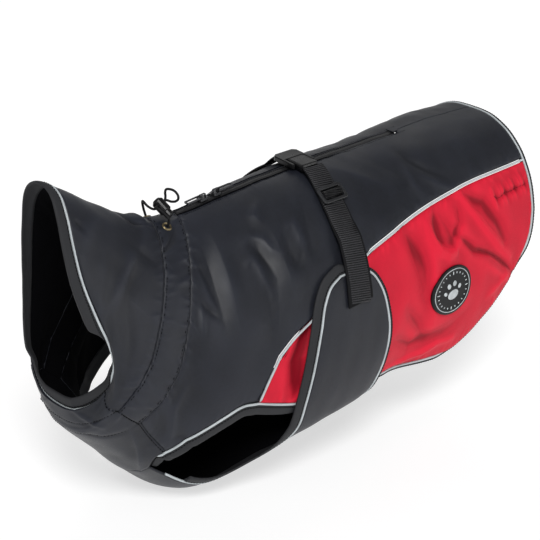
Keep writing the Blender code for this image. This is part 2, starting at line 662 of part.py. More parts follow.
def make_side(side_name, side):
    """The black back panel and the red side panel of one side."""
    flip = np.array([1, side])
    low = joined(LINES["back_side"], LINES["leg_hem"], LINES["rise"], LINES["seam"])
    stations = low[:, 0].copy()
    bend = CHEST_SEAM_ROWS + LEG_HEM_ROWS + RISE_ROWS
    stations[:bend] = np.interp(np.arange(bend), [0, CHEST_SEAM_ROWS, CHEST_SEAM_ROWS + LEG_HEM_ROWS, bend],
                                [TUNNEL_REAR, *SPINE_KNOTS, SEAM[0].station])
    reach = ZIP_WIDTH / 2 + SEAM_GAP
    reach = np.where(stations > ZIP_END + 8, HALF_GAP, reach)
    top = np.stack([stations, turn_for(stations, reach)], axis=-1)
    front = cross_seam(TUNNEL_REAR, CHEST_SEAM[4], BACK_COLUMNS)
    front[0, 1] = top[0, 1]
    rear = LINES["tail_top"].copy()
    rear[0, 1] = top[-1, 1]
    seam_inset = PIPING_RADIUS + SEAM_GAP
    inset = np.concatenate([
        np.full(CHEST_SEAM_ROWS, HALF_GAP),
        np.full(LEG_HEM_ROWS, HEM_GAP),
        [0.8 * seam_inset],
        np.full(RISE_ROWS + SEAM_ROWS, seam_inset),
    ])
    cloth_on_form("back_panel_" + side_name, patch(top, low, front, rear) * flip, "nylon",
                  insets={"front": HALF_GAP, "low": inset})
    rise, seam = LINES["rise"], LINES["seam"]
    net = patch(seam, LINES["side_hem"], rise[::-1], LINES["tail_low"][::-1])
    first = np.full(RISE_ROWS + 1, seam_inset)
    first[-1] = 0.5 * seam_inset
    cloth_on_form("side_panel_" + side_name, net * flip, "red_nylon",
                  insets={"top": seam_inset, "front": first})
    line = joined(rise, seam) * flip
    points, normals = line_on_form(line, out=-0.1)
    points[0] = points[0] + (points[1] - points[0]) * 0.3
    points[-1] = points[-1] + (points[-2] - points[-1]) * 0.03
    tube("seam_piping_" + side_name, points, PIPING_RADIUS, "piping")


def finish_hem():
    """One piping and one binding round both leg openings, the flanks and the tail."""
    near = joined(LINES["chest_hem"][::-1], LINES["leg_hem"], LINES["side_hem"], LINES["tail_low"],
                  LINES["tail_top"][::-1])
    line = joined(near, mirrored(near)[::-1])
    hidden = 3 + LEG_HEM_ROWS
    spread = np.arange(len(near), dtype=float)
    widths = WIDE_BINDING + (THIN_BINDING - WIDE_BINDING) * smoothstep((spread - hidden - 1) / 3)
    widths[0] = 0.8 * WIDE_BINDING
    finish_edge("hem", line, form(np.array(150.0), np.array(60.0)), joined_widths(widths))


def joined_widths(widths):
    return np.concatenate([widths, widths[::-1][1:]])


def finish_neck():
    top = joined(mirrored(LINES["neck_top"])[::-1], LINES["neck_top"])
    low = cross_line(NECK, CHEST_SEAM[0].turn, STEM_COLUMNS + 2 * CHEST_HEM_ROWS)
    line = np.concatenate([top, low[1:-1]])
    inside = form(np.array(-240.0), np.array(0.0))
    finish_edge("neck", line, inside, np.full(len(line), WIDE_BINDING), closed=True)


def belly_tuck(station, turn):
    """The flap leaves the form under the belly, which is drawn up towards the rear."""
    from_spine = 180 - np.abs(180 - np.abs(np.asarray(turn, float)))
    past = smoothstep((from_spine - TUCK_TURN) / TUCK_SPREAD)
    along = smoothstep((np.asarray(station, float) - TUCK_START) / (TUCK_END - TUCK_START))
    rise = past * along * TUCK_HEIGHT * MM
    return np.stack([0 * rise, 0 * rise, rise], axis=-1)


def flap_out(station):
    return FLAP_LIFT * smoothstep((np.asarray(station, float) + 118) / 48)


def make_flap():
    """The belly flap: a stem between the front legs and a band that wraps up both flanks."""
    wing, stem = edge_line(FLAP_FRONT, WING_ROWS), edge_line(STEM_SIDE, STEM_ROWS)
    root = cross_line(*stem[0], STEM_COLUMNS)
    front = joined(wing, root, far_side(wing)[::-1])
    rear = edge_line(FLAP_REAR, len(front) // 2)
    rear = joined(rear, far_side(rear)[::-1])
    tip = edge_line([FLAP_FRONT[0], FLAP_REAR[0]], FLAP_COLUMNS)
    band = patch(front, rear, tip, far_side(tip))
    neck = patch(stem, far_side(stem), root, stem_seam())
    cloth("belly_flap", [
        net_on_form(band, flap_out(band[..., 0]), tuck=belly_tuck),
        net_on_form(neck, flap_out(neck[..., 0]), tuck=belly_tuck, insets={"rear": HALF_GAP}),
    ], "nylon")
    near = joined(stem[::-1], wing[::-1])
    edge = joined(near, tip, rear, far_side(tip)[::-1], far_side(near)[::-1])[1:-1]
    spread = np.arange(1.0, len(edge) + 1)
    spread = np.minimum(spread, spread[::-1])
    wide = len(near) + FLAP_COLUMNS // 2
    widths = WIDE_BINDING + (THIN_BINDING - WIDE_BINDING) * smoothstep((spread - wide + 3) / 4)
    middle = np.array(float(TUCK_START)), np.array(180.0)
    finish_edge("flap", edge, form(*middle) + belly_tuck(*middle), widths, out=flap_out(edge[:, 0]),
                tuck=belly_tuck, curl=FLAP_CURL, skip=1)


# ---------------------------------------------------------------- zip, webbing and trimmings

def spine_frame(station, reach=0.0, out=0.0):
    """A point near the spine in metres with the directions along the spine and outwards."""
    turn = turn_for(station, abs(reach)) * math.copysign(1, reach)
    return surface_frame(station, turn, out)


def surface_frame(station, turn, out=0.0):
    point = bare_form(station, turn)
    ahead = bare_form(station + 1.0, turn) - point
    normal = form_normal(station, turn)
    return Vector((point + normal * out) * MM), Vector(ahead).normalized(), Vector(normal)


def make_zip():
    """The tape with its coil, as one strip, and the patch over its rear end."""
    stations = np.linspace(TUNNEL_REAR + 1, ZIP_END, ZIP_ROWS + 1)
    reaches = np.array([-ZIP_WIDTH / 2, -COIL_HALF, -COIL_HALF * 0.6, COIL_HALF * 0.6, COIL_HALF, ZIP_WIDTH / 2])
    heights = np.array([0, 0, COIL_HEIGHT, COIL_HEIGHT, 0, 0]) - 0.6
    turn = np.sign(reaches) * turn_for(stations[:, None], np.abs(reaches))
    net = np.stack([np.broadcast_to(stations[:, None], turn.shape), turn], axis=-1)
    cloth_on_form("zip_tape", net, "zip", out=np.broadcast_to(heights, turn.shape), wall=ZIP_WALL)
    at, ahead, up = spine_frame(ZIP_END + 1, 0, COIL_HEIGHT + 0.5)
    patch_piece = box("zip_end_patch", (8, 11, 1.0), "nylon", rounding=0.3)
    placed(patch_piece, at, ahead, up)


def make_slider(name, station, facing):
    """A slider with a crown over its body, and its pull, hooked under the crown.

    facing is -1 where the pull points to the head and 1 where it points to the tail.
    """
    at, ahead, up = spine_frame(station, 0, COIL_HEIGHT - 0.2)
    body = slab(name, rounded_rectangle(*SLIDER_SIZE[:2], 2.0, steps=2), SLIDER_SIZE[2], "metal")
    crown = slab(name + "_crown", crown_outline(), CROWN_WIDTH, "metal")
    placed(body, at + up * SLIDER_SIZE[2] / 2 * MM, ahead, up)
    placed(crown, at + up * SLIDER_SIZE[2] * MM, ahead, ahead.cross(up))
    union(body, crown)
    pivot = at + up * (SLIDER_SIZE[2] + PIVOT_HEIGHT) * MM + ahead * facing * PIVOT_AHEAD * MM
    outline = rounded_rectangle(PULL_LENGTH, PULL_WIDTH, 1.6, steps=2)
    slot = rounded_rectangle(PULL_LENGTH - 2 * PULL_RAIL, PULL_WIDTH - 2 * PULL_RAIL, 0.8, steps=2)
    pull = slab(name + "_pull", [(x + (PULL_LENGTH - PULL_RAIL) / 2, y) for x, y in outline], PULL_RAIL,
                "metal", holes=([(x + (PULL_LENGTH - PULL_RAIL) / 2, y) for x, y in slot],))
    placed(pull, pivot, ahead * facing, up)


def crown_outline():
    """The side view of a slider's crown: an arch along the zip, open below."""
    half, high, thick = CROWN_HALF, CROWN_HEIGHT, CROWN_WALL
    return [(-half, -0.6), (-half, high - 1), (-half + 1, high), (half - 1, high), (half, high - 1), (half, -0.6),
            (half - thick, -0.6), (half - thick, high - thick - 0.3), (half - thick - 0.3, high - thick),
            (-half + thick + 0.3, high - thick), (-half + thick, high - thick - 0.3), (-half + thick, -0.6)]


def union(base, *others):
    """Joins overlapping pieces into the first one."""
    for other in others:
        other.hide_render = True
        other.display_type = "WIRE"
        COAT.objects.unlink(other)
        CUTTERS.objects.link(other)
        join = base.modifiers.new("join", "BOOLEAN")
        join.operation = "UNION"
        join.solver = "EXACT"
        join.object = other


def strap_net(turns, side, lifts):
    slant = STRAP_SLANT * np.clip((turns - 30) / (STRAP_END_TURN - 30), 0, 1)
    station = STRAP_STATION + slant[:, None] + np.array([-WEBBING / 2, 0, WEBBING / 2])
    net = np.stack(np.broadcast_arrays(station, turns[:, None] * side), axis=-1)
    points = bare_form(net[..., 0], net[..., 1]) + form_normal(net[..., 0], net[..., 1]) * lifts[:, None, None]
    return points * MM, form_normal(net[..., 0], net[..., 1])


def make_strap(name, side, top_turn, top_lift, ramp):
    """One half of the girth strap, from its sewn end on the flap up to the buckle."""
    turns = np.linspace(STRAP_END_TURN, top_turn, STRAP_ROWS + 1)
    lifts = STRAP_LOW + (STRAP_LIFT - STRAP_LOW) * smoothstep((turns - 38) / 10)
    lifts = lifts + (top_lift - STRAP_LOW) * smoothstep(1 - (turns - top_turn) / ramp)
    points, normals = strap_net(turns, side, lifts)
    cloth(name, [facing_out(points, normals)], "webbing", WEBBING_WALL)


def make_buckle():
    """A fastened side-release buckle: the housing on the near strap, the prong on the far one."""
    at = spine_frame(STRAP_STATION - 3.0, HOUSING_REACH, HOUSING_LIFT)[0]
    up = spine_frame(STRAP_STATION, HOUSING_TILT_REACH)[2]
    housing = box("buckle_housing", (HOUSING_WIDTH, HOUSING_LENGTH, HOUSING_HEIGHT), "plastic", rounding=2.2, segments=2)
    placed(housing, at, (1, 0, 0), up)
    half, arm = HOUSING_WIDTH / 2 + SEAM_GAP, ARM_WIDTH
    base, reach = PRONG_BASE, ARM_REACH
    outline = [(-half - arm, -reach), (-half - 0.6, -reach - 1.2), (-half, -reach), (-half, 0), (half, 0),
               (half, -reach), (half + 0.6, -reach - 1.2), (half + arm, -reach), (half + arm, base - 3),
               (half + arm - 3, base), (-half - arm + 3, base), (-half - arm, base - 3)]
    prong = slab("buckle_prong", outline, ARM_HEIGHT, "plastic", rounding=0.9)
    side = up.cross(Vector((1, 0, 0))).normalized()
    edge = at + side * (HOUSING_LENGTH / 2 + SEAM_GAP) * MM
    placed(prong, edge, (1, 0, 0), up)


def make_adjuster():
    """The three-bar slide that sets the near strap's length."""
    at, ahead, up = surface_frame(STRAP_STATION + 2.0, ADJUSTER_TURN, ADJUSTER_LIFT)
    frame = rounded_rectangle(ADJUSTER_WIDTH, ADJUSTER_LENGTH, 3.0, steps=2)
    slot = rounded_rectangle(ADJUSTER_WIDTH - 7, (ADJUSTER_LENGTH - 10.5) / 2, 1.5, steps=2)
    shift = (ADJUSTER_LENGTH - 10.5) / 4 + 1.75
    slots = [[(x, y + shift * way) for x, y in slot] for way in (-1, 1)]
    piece = slab("strap_adjuster", frame, ADJUSTER_WALL, "plastic", holes=slots, rounding=0.7)
    placed(piece, at, (1, 0, 0), up)


def make_patch():
    """The round rubber patch, which follows the flank."""
    rings = np.array([0, 0.5, 0.9, 1.0]) * PATCH_RADIUS
    bm = bmesh.new()
    knots = [bm.verts.new((radius, 0, 0)) for radius in rings]
    for one, two in zip(knots, knots[1:]):
        bm.edges.new((one, two))
    bmesh.ops.spin(bm, geom=bm.verts[:] + bm.edges[:], axis=(0, 0, 1), cent=(0, 0, 0),
                   angle=2 * math.pi, steps=PATCH_STEPS)
    bmesh.ops.remove_doubles(bm, verts=bm.verts, dist=0.01)
    degree = np.linalg.norm(bare_form(PATCH_STATION, PATCH_TURN + 1) - bare_form(PATCH_STATION, PATCH_TURN - 1)) / 2
    for vert in bm.verts:
        station, turn = PATCH_STATION + vert.co.x, PATCH_TURN + vert.co.y / degree
        vert.co = form(np.array(station), np.array(turn), PATCH_WALL + 0.5)
    bmesh.ops.recalc_face_normals(bm, faces=bm.faces)
    bm.faces.ensure_lookup_table()
    if bm.faces[0].normal.y > 0:
        bmesh.ops.reverse_faces(bm, faces=bm.faces)
    solidify(add_bmesh("round_patch", bm, "rubber"), PATCH_WALL)


def make_eyelets():
    """Two brass rings in the tunnel, on either side of the spine."""
    for name, side in (("eyelet_left", 1), ("eyelet_right", -1)):
        at, ahead, up = eyelet_frame(side, 0.35)
        wire, radius = EYELET_WIRE, EYELET_RADIUS
        ring = turned(name, [(radius, wire), (radius + wire, 0), (radius - wire, 0)], "eyelet", steps=12)
        placed(ring, at, ahead, up)


def eyelet_frame(side, out):
    return spine_frame(EYELET_STATION, side * EYELET_REACH, TUNNEL_SWELL + out)


def lock_frame():
    """The directions along the lock, across it through its holes, and beside it."""
    along = Vector(LOCK_AXIS).normalized()
    across = (Vector((1, 0, 0)) - along * along.x).normalized()
    return along, across, along.cross(across)


def make_lock():
    """The cord lock: a barrel with two holes, and the plunger that is pressed into its lower end."""
    along, across, beside = lock_frame()
    centre = Vector(LOCK_CENTRE) * MM
    radius, half = LOCK_DIAMETER / 2, LOCK_LENGTH / 2
    barrel = turned("cord_lock", [(0, half), (radius - 1, half), (radius, half - 1), (radius, -half + 2.5),
                                  (radius - 2.5, -half), (0, -half)], "plastic", steps=20)
    placed(barrel, centre, across, along)
    bore_radius, floor = PLUNGER_DIAMETER / 2 + BORE_GAP, half - BORE_DEPTH
    bore = turned("lock_bore", [(0, half + 2), (bore_radius, half + 2), (bore_radius, floor), (0, floor)],
                  "plastic", steps=20)
    placed(bore, centre, across, along)
    holes = []
    for way in (-1, 1):
        hole = turned("lock_hole", [(0, radius + 2), (LOCK_HOLE / 2, radius + 2), (LOCK_HOLE / 2, -radius - 2),
                                    (0, -radius - 2)], "plastic", steps=12)
        at = centre - along * LOCK_HOLE_BACK * MM + beside * way * LOCK_HOLE_APART / 2 * MM
        holes.append(placed(hole, at, along, across))
    cut(barrel, bore, *holes)
    top = PLUNGER_LENGTH - PLUNGER_IN
    edge = PLUNGER_DIAMETER / 2
    plunger = turned("lock_plunger", [(0, top), (edge - 1.2, top), (edge, top - 1.2), (edge, -PLUNGER_IN),
                                      (0, -PLUNGER_IN)], "plastic", steps=16)
    placed(plunger, centre + along * half * MM, across, along)


def make_cord():
    """The drawcord, which leaves the tunnel at one eyelet and enters it at the other."""
    axes = lock_frame()
    rows = [Vector(LOCK_CENTRE) * MM + sum((axis * size * MM for axis, size in zip(axes, knot)), Vector())
            for knot in (*CORD_IN, *CORD_LOOP, *CORD_OUT)]
    far, near = ([eyelet_frame(side, out)[0] for out in (0.6, 4.0)] for side in (-1, 1))
    rows = np.array([*far, *rows, *near[::-1]])
    keys = np.arange(len(rows))
    at = np.linspace(0, keys[-1], CORD_STEPS * keys[-1] + 1)
    points = np.stack([spline(keys, rows[:, axis], at) for axis in range(3)], axis=-1)
    tube("drawcord", points, CORD_DIAMETER / 2, "cord", sides=2)


# ---------------------------------------------------------------- build

clear_scene()
COAT = new_collection("dog_coat")
CUTTERS = new_collection("cutters")
lay_out_edges()
make_collar()
make_tunnel()
make_chest()
make_side("left", 1)
make_side("right", -1)
finish_hem()
finish_neck()
make_flap()
make_zip()
make_slider("front_slider", -127, -1)
make_slider("rear_slider", -110, 1)
make_strap("strap_left", 1, 10.15, 7.8, LEFT_RAMP)
make_strap("strap_right", -1, 8.5, 8.8, RIGHT_RAMP)
make_buckle()
make_adjuster()
make_patch()
make_eyelets()
make_lock()
make_cord()
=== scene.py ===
"""The looks of a hollow dog coat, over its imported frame.

Every cloth piece lies on one body form, which is read with the station, in millimetres along the
spine, and the turn, in degrees from the spine (0) down the near side (90) to the belly (180).
"""

import math
from collections import namedtuple

import bmesh
import bpy
import numpy as np
from mathutils import Matrix, Vector


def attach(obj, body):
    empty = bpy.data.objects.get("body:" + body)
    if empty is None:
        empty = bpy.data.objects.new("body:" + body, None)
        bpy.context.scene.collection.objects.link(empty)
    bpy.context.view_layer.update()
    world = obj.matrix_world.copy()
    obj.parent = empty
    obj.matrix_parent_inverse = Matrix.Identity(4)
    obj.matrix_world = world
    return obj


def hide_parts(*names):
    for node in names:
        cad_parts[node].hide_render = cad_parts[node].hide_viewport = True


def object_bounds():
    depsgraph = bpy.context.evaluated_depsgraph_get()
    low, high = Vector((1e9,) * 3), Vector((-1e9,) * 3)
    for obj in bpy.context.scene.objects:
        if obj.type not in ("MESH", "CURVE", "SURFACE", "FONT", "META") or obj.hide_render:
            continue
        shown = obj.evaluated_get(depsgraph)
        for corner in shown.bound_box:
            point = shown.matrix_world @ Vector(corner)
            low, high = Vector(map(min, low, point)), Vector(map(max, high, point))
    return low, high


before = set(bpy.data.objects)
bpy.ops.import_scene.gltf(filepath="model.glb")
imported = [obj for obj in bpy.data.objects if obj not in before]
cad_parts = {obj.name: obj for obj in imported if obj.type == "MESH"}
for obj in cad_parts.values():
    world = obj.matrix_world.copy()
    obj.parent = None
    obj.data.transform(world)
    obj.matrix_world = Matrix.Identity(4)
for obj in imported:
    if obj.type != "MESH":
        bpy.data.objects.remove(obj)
CAD_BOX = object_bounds()

# Lengths and stations are in millimetres and turns in degrees, unless a comment says otherwise.
MM = 0.001
FINE = 7                  # steps of a net for each step of its solid's

CLOTH = 1.8
THIN_CLOTH = 1.2
SEAM_GAP = 0.5
SEWN_GAP = -0.25          # sewn edges lap over each other in the seam's groove
HEM_GAP = 0.3
PIPING_RADIUS = 1.2
PIPING_SEAT = 1.55
PIPING_DEPTH = -0.4
SEAM_PIPING_OUT = 0.45
SEAM_INSET = PIPING_RADIUS + SEAM_GAP
SEEDS = {"left": 10, "right": 20}  # of each side's gathers
BINDING_START = 3.15
BINDING_WALL = 2.2
BINDING_OUT = 0.3
BINDING_PUFF, BINDING_FOOT, BINDING_LIP = 0.28, 0.5, 0.45
WIDE_BINDING = 10.0
THIN_BINDING = 2.6
BINDING_CURL = 1.6
FLAP_CURL = 1.0
HEM_ROLL = 2.0            # how far the flank's edge rolls over its piping
HEM_ROLL_START, HEM_ROLL_END, HEM_ROLL_TURN = 118, 234, 80
NECK_ROLL = 3.2           # and the neck's edge, under the throat
NECK_NARROWED = 0.45      # the share that the neck's binding loses on the far side
ROLL_PROFILE = (1.0, 0.62, 0.28, 0.08)
BACK_INSET_ROWS, FLANK_INSET_ROWS = 28, 12
RELIEF_REACH = 9          # how wide a stretch of cloth a fold is set against
STITCH_PITCH, SMALL_PITCH, EDGE_PITCH = 3.4, 2.6, 3.2

NECK = -303
TUNNEL_FRONT = -193
TUNNEL_REAR = -162
TAIL = 246
ZIP_END = 128
TUNNEL_SWELL, TUNNEL_WALL = 1.6, 2.4
TUNNEL_STITCHES, CHEST_STITCHES = 2.4, 1.4  # from their seams
ZIP_WIDTH = 9.2
# Half of the zip's face, from its groove out: reach and height.
ZIP_PROFILE = [(0.14, -0.1), (0.5, 0.5), (1.4, 0.45), (2.2, 0.1), (2.6, -0.2), (3.2, -0.3), (3.6, -0.55),
               (ZIP_WIDTH / 2, -0.6)]
ZIP_STITCHES, ZIP_EDGE_STITCHES = 7.6, 3.9
ZIP_MEET, ZIP_MEET_RUN = 5, 3  # where both backs meet past the zip

FLAP_LIFT = 4.3
FLAP_LIFT_START, FLAP_LIFT_RUN = -118, 48
STRAP_STATION = -3
WEBBING = 25.0
WEBBING_WALL = 1.6
STRAP_LIFT = 7.4
STRAP_LOW = 3.2
STRAP_END_TURN = 71
STRAP_SLANT, STRAP_SLANT_TURN = 7.0, 30
STRAP_DROP_TURN, STRAP_DROP_RUN = 38, 10
LEFT_TOP_TURN, LEFT_TOP_LIFT, LEFT_RAMP = 10.15, 7.8, 14
RIGHT_TOP_TURN, RIGHT_TOP_LIFT, RIGHT_RAMP = 8.5, 8.8, 10
RIB_PITCH = 2.2
ADJUSTER_TURN = 26
LOOP_TURN, LOOP_WIDTH, LOOP_SHIFT = 3.1, WEBBING - 2.6, 2.0
LOOP_LOW, LOOP_RISE = 3.6, 4.4
LOOP_PITCH = 1.9

PATCH_STATION, PATCH_TURN = 121, 88
PATCH_WALL = 1.8
PATCH_RAISE = 0.5
# Profiles of the patch's round forms, from the middle out: radius and height.
PATCH_FACE = [(0.01, 0), (8, 0), (16, 0), (21.2, 0), (21.6, 0.35), (24.6, 0.35), (25.3, 0.05), (25.5, -0.6),
              (25.4, -1.9), (24.0, -2.0)]
PATCH_RING = [(21.9, 0.2), (22.0, 0.5), (22.7, 0.5), (22.8, 0.2)]
TICK = [(0.01, 0.45), (0.35, 0.45), (0.5, 0.3), (0.55, -0.1)]
TICKS, LONG_TICK_EVERY, TICK_REACH = 24, 6, 18.4
LONG_TICK, SHORT_TICK = 2.2 * 1.6, 1.2 * 1.6
PAW_TILT = -12

EYELET_STATION, EYELET_REACH = -181, 14.5
CORD_DIAMETER = 2.4
CORD_STEPS = 12
LOCK_CENTRE = (-181, -4, 2.6)
LOCK_AXIS = (0.25, -0.742, -0.622)

# Metres, degrees and, for the lens, the photograph's pixels.
CAMERA_TARGET = (-0.0404, 0.0, -0.1037)
CAMERA_TURN, CAMERA_RISE, CAMERA_DISTANCE = 42, 23, 2.0
PHOTO_WIDTH, FOCAL_LENGTH, SENSOR = 540, 2000, 36.0
FLOOR_GAP, FLOOR_RADIUS, FLOOR_GLOW, ROOM_GLOW = 0.0015, 60.0, 0.62, 0.24

Sun = namedtuple("Sun", "name place spread power")

SUNS = [
    Sun("key", (-0.75, -1.0, 1.35), 20, 2.15),
    Sun("low", (0.7, -1.0, 0.07), 30, 0.6),
    Sun("side", (-1.6, 0.1, 0.75), 30, 0.1),
    Sun("rear", (0.9, 0.9, 1.3), 40, 0.35),
]

Pad = namedtuple("Pad", "x y radius stretch angle")

# The paw on the patch. Angles are in radians.
PADS = [Pad(0, 4.4, 5.0, 1.35, 0), Pad(-9.2, -0.6, 2.4, 0.78, -0.5), Pad(-3.6, -6.6, 2.9, 0.78, -0.15),
        Pad(3.6, -6.6, 2.9, 0.78, 0.15), Pad(9.2, -0.6, 2.4, 0.78, 0.5)]

Section = namedtuple("Section", "name back_x back_z belly_x belly_z half_width widest square"
                                " lean_high lean_low far_high far_low")

SECTIONS = [
    Section("neck_edge", -303, 53, -306, -165, 58, 0.60, 0.70, -12, 26, 9, 2),
    Section("neck_middle", -250, 20, -302, -182, 63, 0.60, 0.78, -6, 8, 5, 2),
    Section("tunnel_front", -191, -9, -292, -199, 71, 0.60, 0.90, 0, 0, 0, 0),
    Section("tunnel_rear", -160, -10, -265, -226, 76, 0.60, 0.95, 0, 0, 0, 0),
    Section("shoulder", -115, -6, -236, -256, 95, 0.60, 1.0, 0, 0, 0, 0),
    Section("leg_front", -70, -3, -190, -284, 106, 0.56, 1.0, 0, 0, 0, 0),
    Section("leg_rear", -25, 0, -118, -296, 112, 0.54, 1.0, 0, 0, 0, 0),
    Section("girth", 25, 1, -35, -288, 113, 0.53, 1.0, 0, 0, 0, 0),
    Section("waist", 80, 2, 40, -268, 110, 0.52, 1.0, 0, 0, 0, 0),
    Section("loin", 135, 4, 118, -296, 106, 0.48, 1.0, 0, 0, 0, 0),
    Section("rump", 190, 6.5, 186, -306, 101, 0.44, 1.0, 0, 0, 0, 0),
    Section("tail", 243, 4.5, 254, -302, 95, 0.42, 1.0, 0, 0, 0, 0),
]

Fold = namedtuple("Fold", "name height width points")

# The large folds of the solids, then the small ones that only the cloth shows. Heights over 0
# are ridges; heights and widths are in millimetres, and points are (station, turn).
BROAD_FOLDS = [
    Fold("shoulder_trough", -2.4, 9, [(-148, 26), (-124, 62)]),
    Fold("shoulder_ridge", 1.8, 9, [(-134, 22), (-108, 66)]),
    Fold("yoke_trough", -2.0, 11, [(-92, 26), (-76, 74)]),
    Fold("yoke_ridge", 1.8, 9, [(-74, 30), (-58, 58)]),
    Fold("strap_trough", -1.8, 10, [(-34, 22), (-46, 60)]),
    Fold("flank_trough", -3.0, 12, [(74, 60), (92, 92)]),
    Fold("flank_ridge", 2.2, 10, [(98, 60), (104, 104)]),
    Fold("haunch_trough", -3.2, 8, [(116, 55), (134, 76)]),
    Fold("haunch_ridge", 2.4, 7, [(142, 56), (136, 72)]),
    Fold("rump_trough", -2.6, 9, [(152, 56), (190, 78)]),
    Fold("hem_trough", -1.6, 8, [(96, 112), (150, 100)]),
    Fold("collar_hump", 3.4, 11, [(-216, -8), (-207, 12)]),
    Fold("collar_trough", -2.0, 8, [(-228, 24), (-200, 34)]),
    Fold("collar_ridge", 1.0, 12, [(-250, 54), (-204, 62)]),
    Fold("chest_crease", 2.2, 8, [(-176, 96), (-140, 118)]),
]
SMALL_FOLDS = [
    Fold("yoke_apex", 1.8, 4.5, [(-102, 29), (-94, 28.5), (-84, 32), (-77, 38), (-69, 41)]),
    Fold("yoke_dip", -2.0, 5, [(-95, 32), (-86, 38), (-79, 44.5), (-74, 49.5)]),
    Fold("yoke_spur", 1.8, 4, [(-101, 38.5), (-96, 37.5), (-91, 41.5), (-86, 48), (-79, 55.5)]),
    Fold("strap_fold", 2.0, 4.5, [(-56, 31), (-50, 30.5), (-45, 39), (-41, 48.5)]),
    Fold("strap_dip", -2.0, 6, [(-63, 33), (-60, 41.5), (-53, 47.5), (-45, 43)]),
    Fold("spine_fold", 1.8, 6, [(-79, 15.5), (-86, 20), (-80, 25)]),
    Fold("shoulder_dip", -1.3, 6, [(-155, 33), (-146, 40.5), (-137, 49.5), (-128, 57)]),
    Fold("shoulder_line", 0.9, 4, [(-160, 29.5), (-152, 39.5), (-141, 51), (-131, 58.5)]),
    Fold("shoulder_low", -2.2, 4, [(-149, 52.5), (-139, 56), (-130, 58.5)]),
    Fold("shoulder_spur", 2.0, 4, [(-151, 53), (-145, 65.5)]),
    Fold("collar_front", 1.4, 7, [(-265, 13), (-284, 28), (-295, 46.5)]),
    Fold("collar_sweep", 1.4, 8, [(-204, 8), (-253, 53.5), (-300, 86)]),
    Fold("collar_run", -1.9, 8, [(-216, 14.5), (-240, 56.5), (-232, 80)]),
    Fold("collar_pinch", -2.6, 4, [(-232, 0), (-219, 8), (-202, 9)]),
    Fold("breast_crease", 2.2, 4, [(-179, 127.5), (-110, 164)]),
    Fold("leg_ridge", 2.8, 6, [(-150, 91), (-153, 104.5), (-135, 128.5)]),
    Fold("front_hollow", -4.0, 9, [(69, 54.5), (77, 62), (86, 69.5), (90, 75), (91, 82)]),
    Fold("seat_hollow", -2.6, 6, [(67, 88), (85, 99), (98, 107.5)]),
    Fold("hook_ridge", 4.0, 4.5,
         [(95, 54), (99, 62), (108, 69.5), (119, 73), (128, 73), (132, 70.5), (128, 66)]),
    Fold("hook_hollow", -5.0, 6, [(110, 52.5), (109, 57.5), (110, 64), (116, 69)]),
    Fold("hook_rear", -4.2, 5.5, [(127, 68.5), (139, 63), (140, 55.5)]),
    Fold("blade", 4.4, 5,
         [(144, 50), (150, 55.5), (156, 61), (164, 67), (178, 75.5), (197, 85.5), (207, 89.5)]),
    Fold("blade_shade", -4.0, 6, [(152, 52.5), (164, 58), (176, 62), (191, 73), (200, 82)]),
    Fold("crease", -4.0, 3.5, [(133, 66.5), (143, 71.5), (155, 77.5), (172, 82)]),
    Fold("dart", -3.0, 2.0, [(162, 79), (180, 84), (193, 88.5), (205, 93), (216, 98)]),
    Fold("dart_lip", 1.6, 3.5, [(172, 87), (190, 93), (208, 99)]),
    Fold("under_dart", 1.6, 4, [(207, 96), (192, 98.5), (177, 100)]),
    Fold("ruche", -2.6, 2.4, [(190, 62), (198, 64), (208, 63.5), (218, 64), (232, 64), (243, 64.5)]),
    Fold("hem_line", 3.4, 3.5, [(59, 114.5), (78, 117), (100, 115.5), (116, 111.5), (135, 111)]),
    Fold("hem_hollow", -3.2, 6, [(58, 99.5), (82, 108.5), (99, 107.5), (117, 105.5)]),
    Fold("rump_ridge", 2.0, 5, [(97, 28), (98, 38), (104, 44.5)]),
    Fold("rump_dip", -2.4, 6, [(104, 16), (108, 25), (123, 35.5), (138, 42)]),
    Fold("rump_low", 1.8, 5, [(110, 34.5), (127, 43.5), (143, 49.5)]),
    Fold("rump_line", 1.2, 5, [(160, 62), (196, 78)]),
    Fold("channel_front", -1.1, 2.2, [(-205, 121), (-228, 134.5), (-248, 150), (-256, 165), (-259, 180)]),
    Fold("channel_rear", -1.1, 2.2, [(-174, 121.5), (-181, 134.5), (-189, 148.5), (-203, 160), (-210, 180)]),
    Fold("collar_dent", -2.2, 4, [(-296, 22.5), (-291, 26), (-287, 29)]),
    Fold("collar_broad", 1.3, 8, [(-265, 32), (-273, 51.5), (-293, 75)]),
    Fold("collar_back", 1.3, 6, [(-209, 14.5), (-240, 44.5), (-264, 68.5)]),
    Fold("hump_dent", -2.4, 4, [(-208, -2), (-202, 0), (-200, 4)]),
    Fold("chest_fold", 2.0, 5, [(-303, 168), (-260, 152.5), (-202, 140)]),
    Fold("tunnel_pinch", 1.1, 4, [(-221, 101), (-202, 97.5), (-187, 97.5)]),
    Fold("tunnel_dent", -2.0, 4, [(-172, 12), (-185, 21.5), (-193, 27.5)]),
    Fold("leg_low", -1.8, 5, [(-139, 119.5), (-131, 116.5), (-122, 118.5)]),
    Fold("back_line", 1.4, 8, [(20, 12), (70, 34)]),
    Fold("back_dip", -1.0, 8, [(60, 12), (105, 40)]),
]
RUCHE_START, RUCHE_STEP, RUCHE_TURNS, RUCHE_HEIGHTS = 188, 5, (58, 68), (1.7, -1.5, 1.2)
RUCHE_FOLDS = [
    Fold(f"ruche_{step}", RUCHE_HEIGHTS[step % 3], 2.0,
         [(RUCHE_START + RUCHE_STEP * step, RUCHE_TURNS[0] + step % 2),
          (RUCHE_START + RUCHE_STEP * (step + 1), RUCHE_TURNS[1])])
    for step in range(11)
]
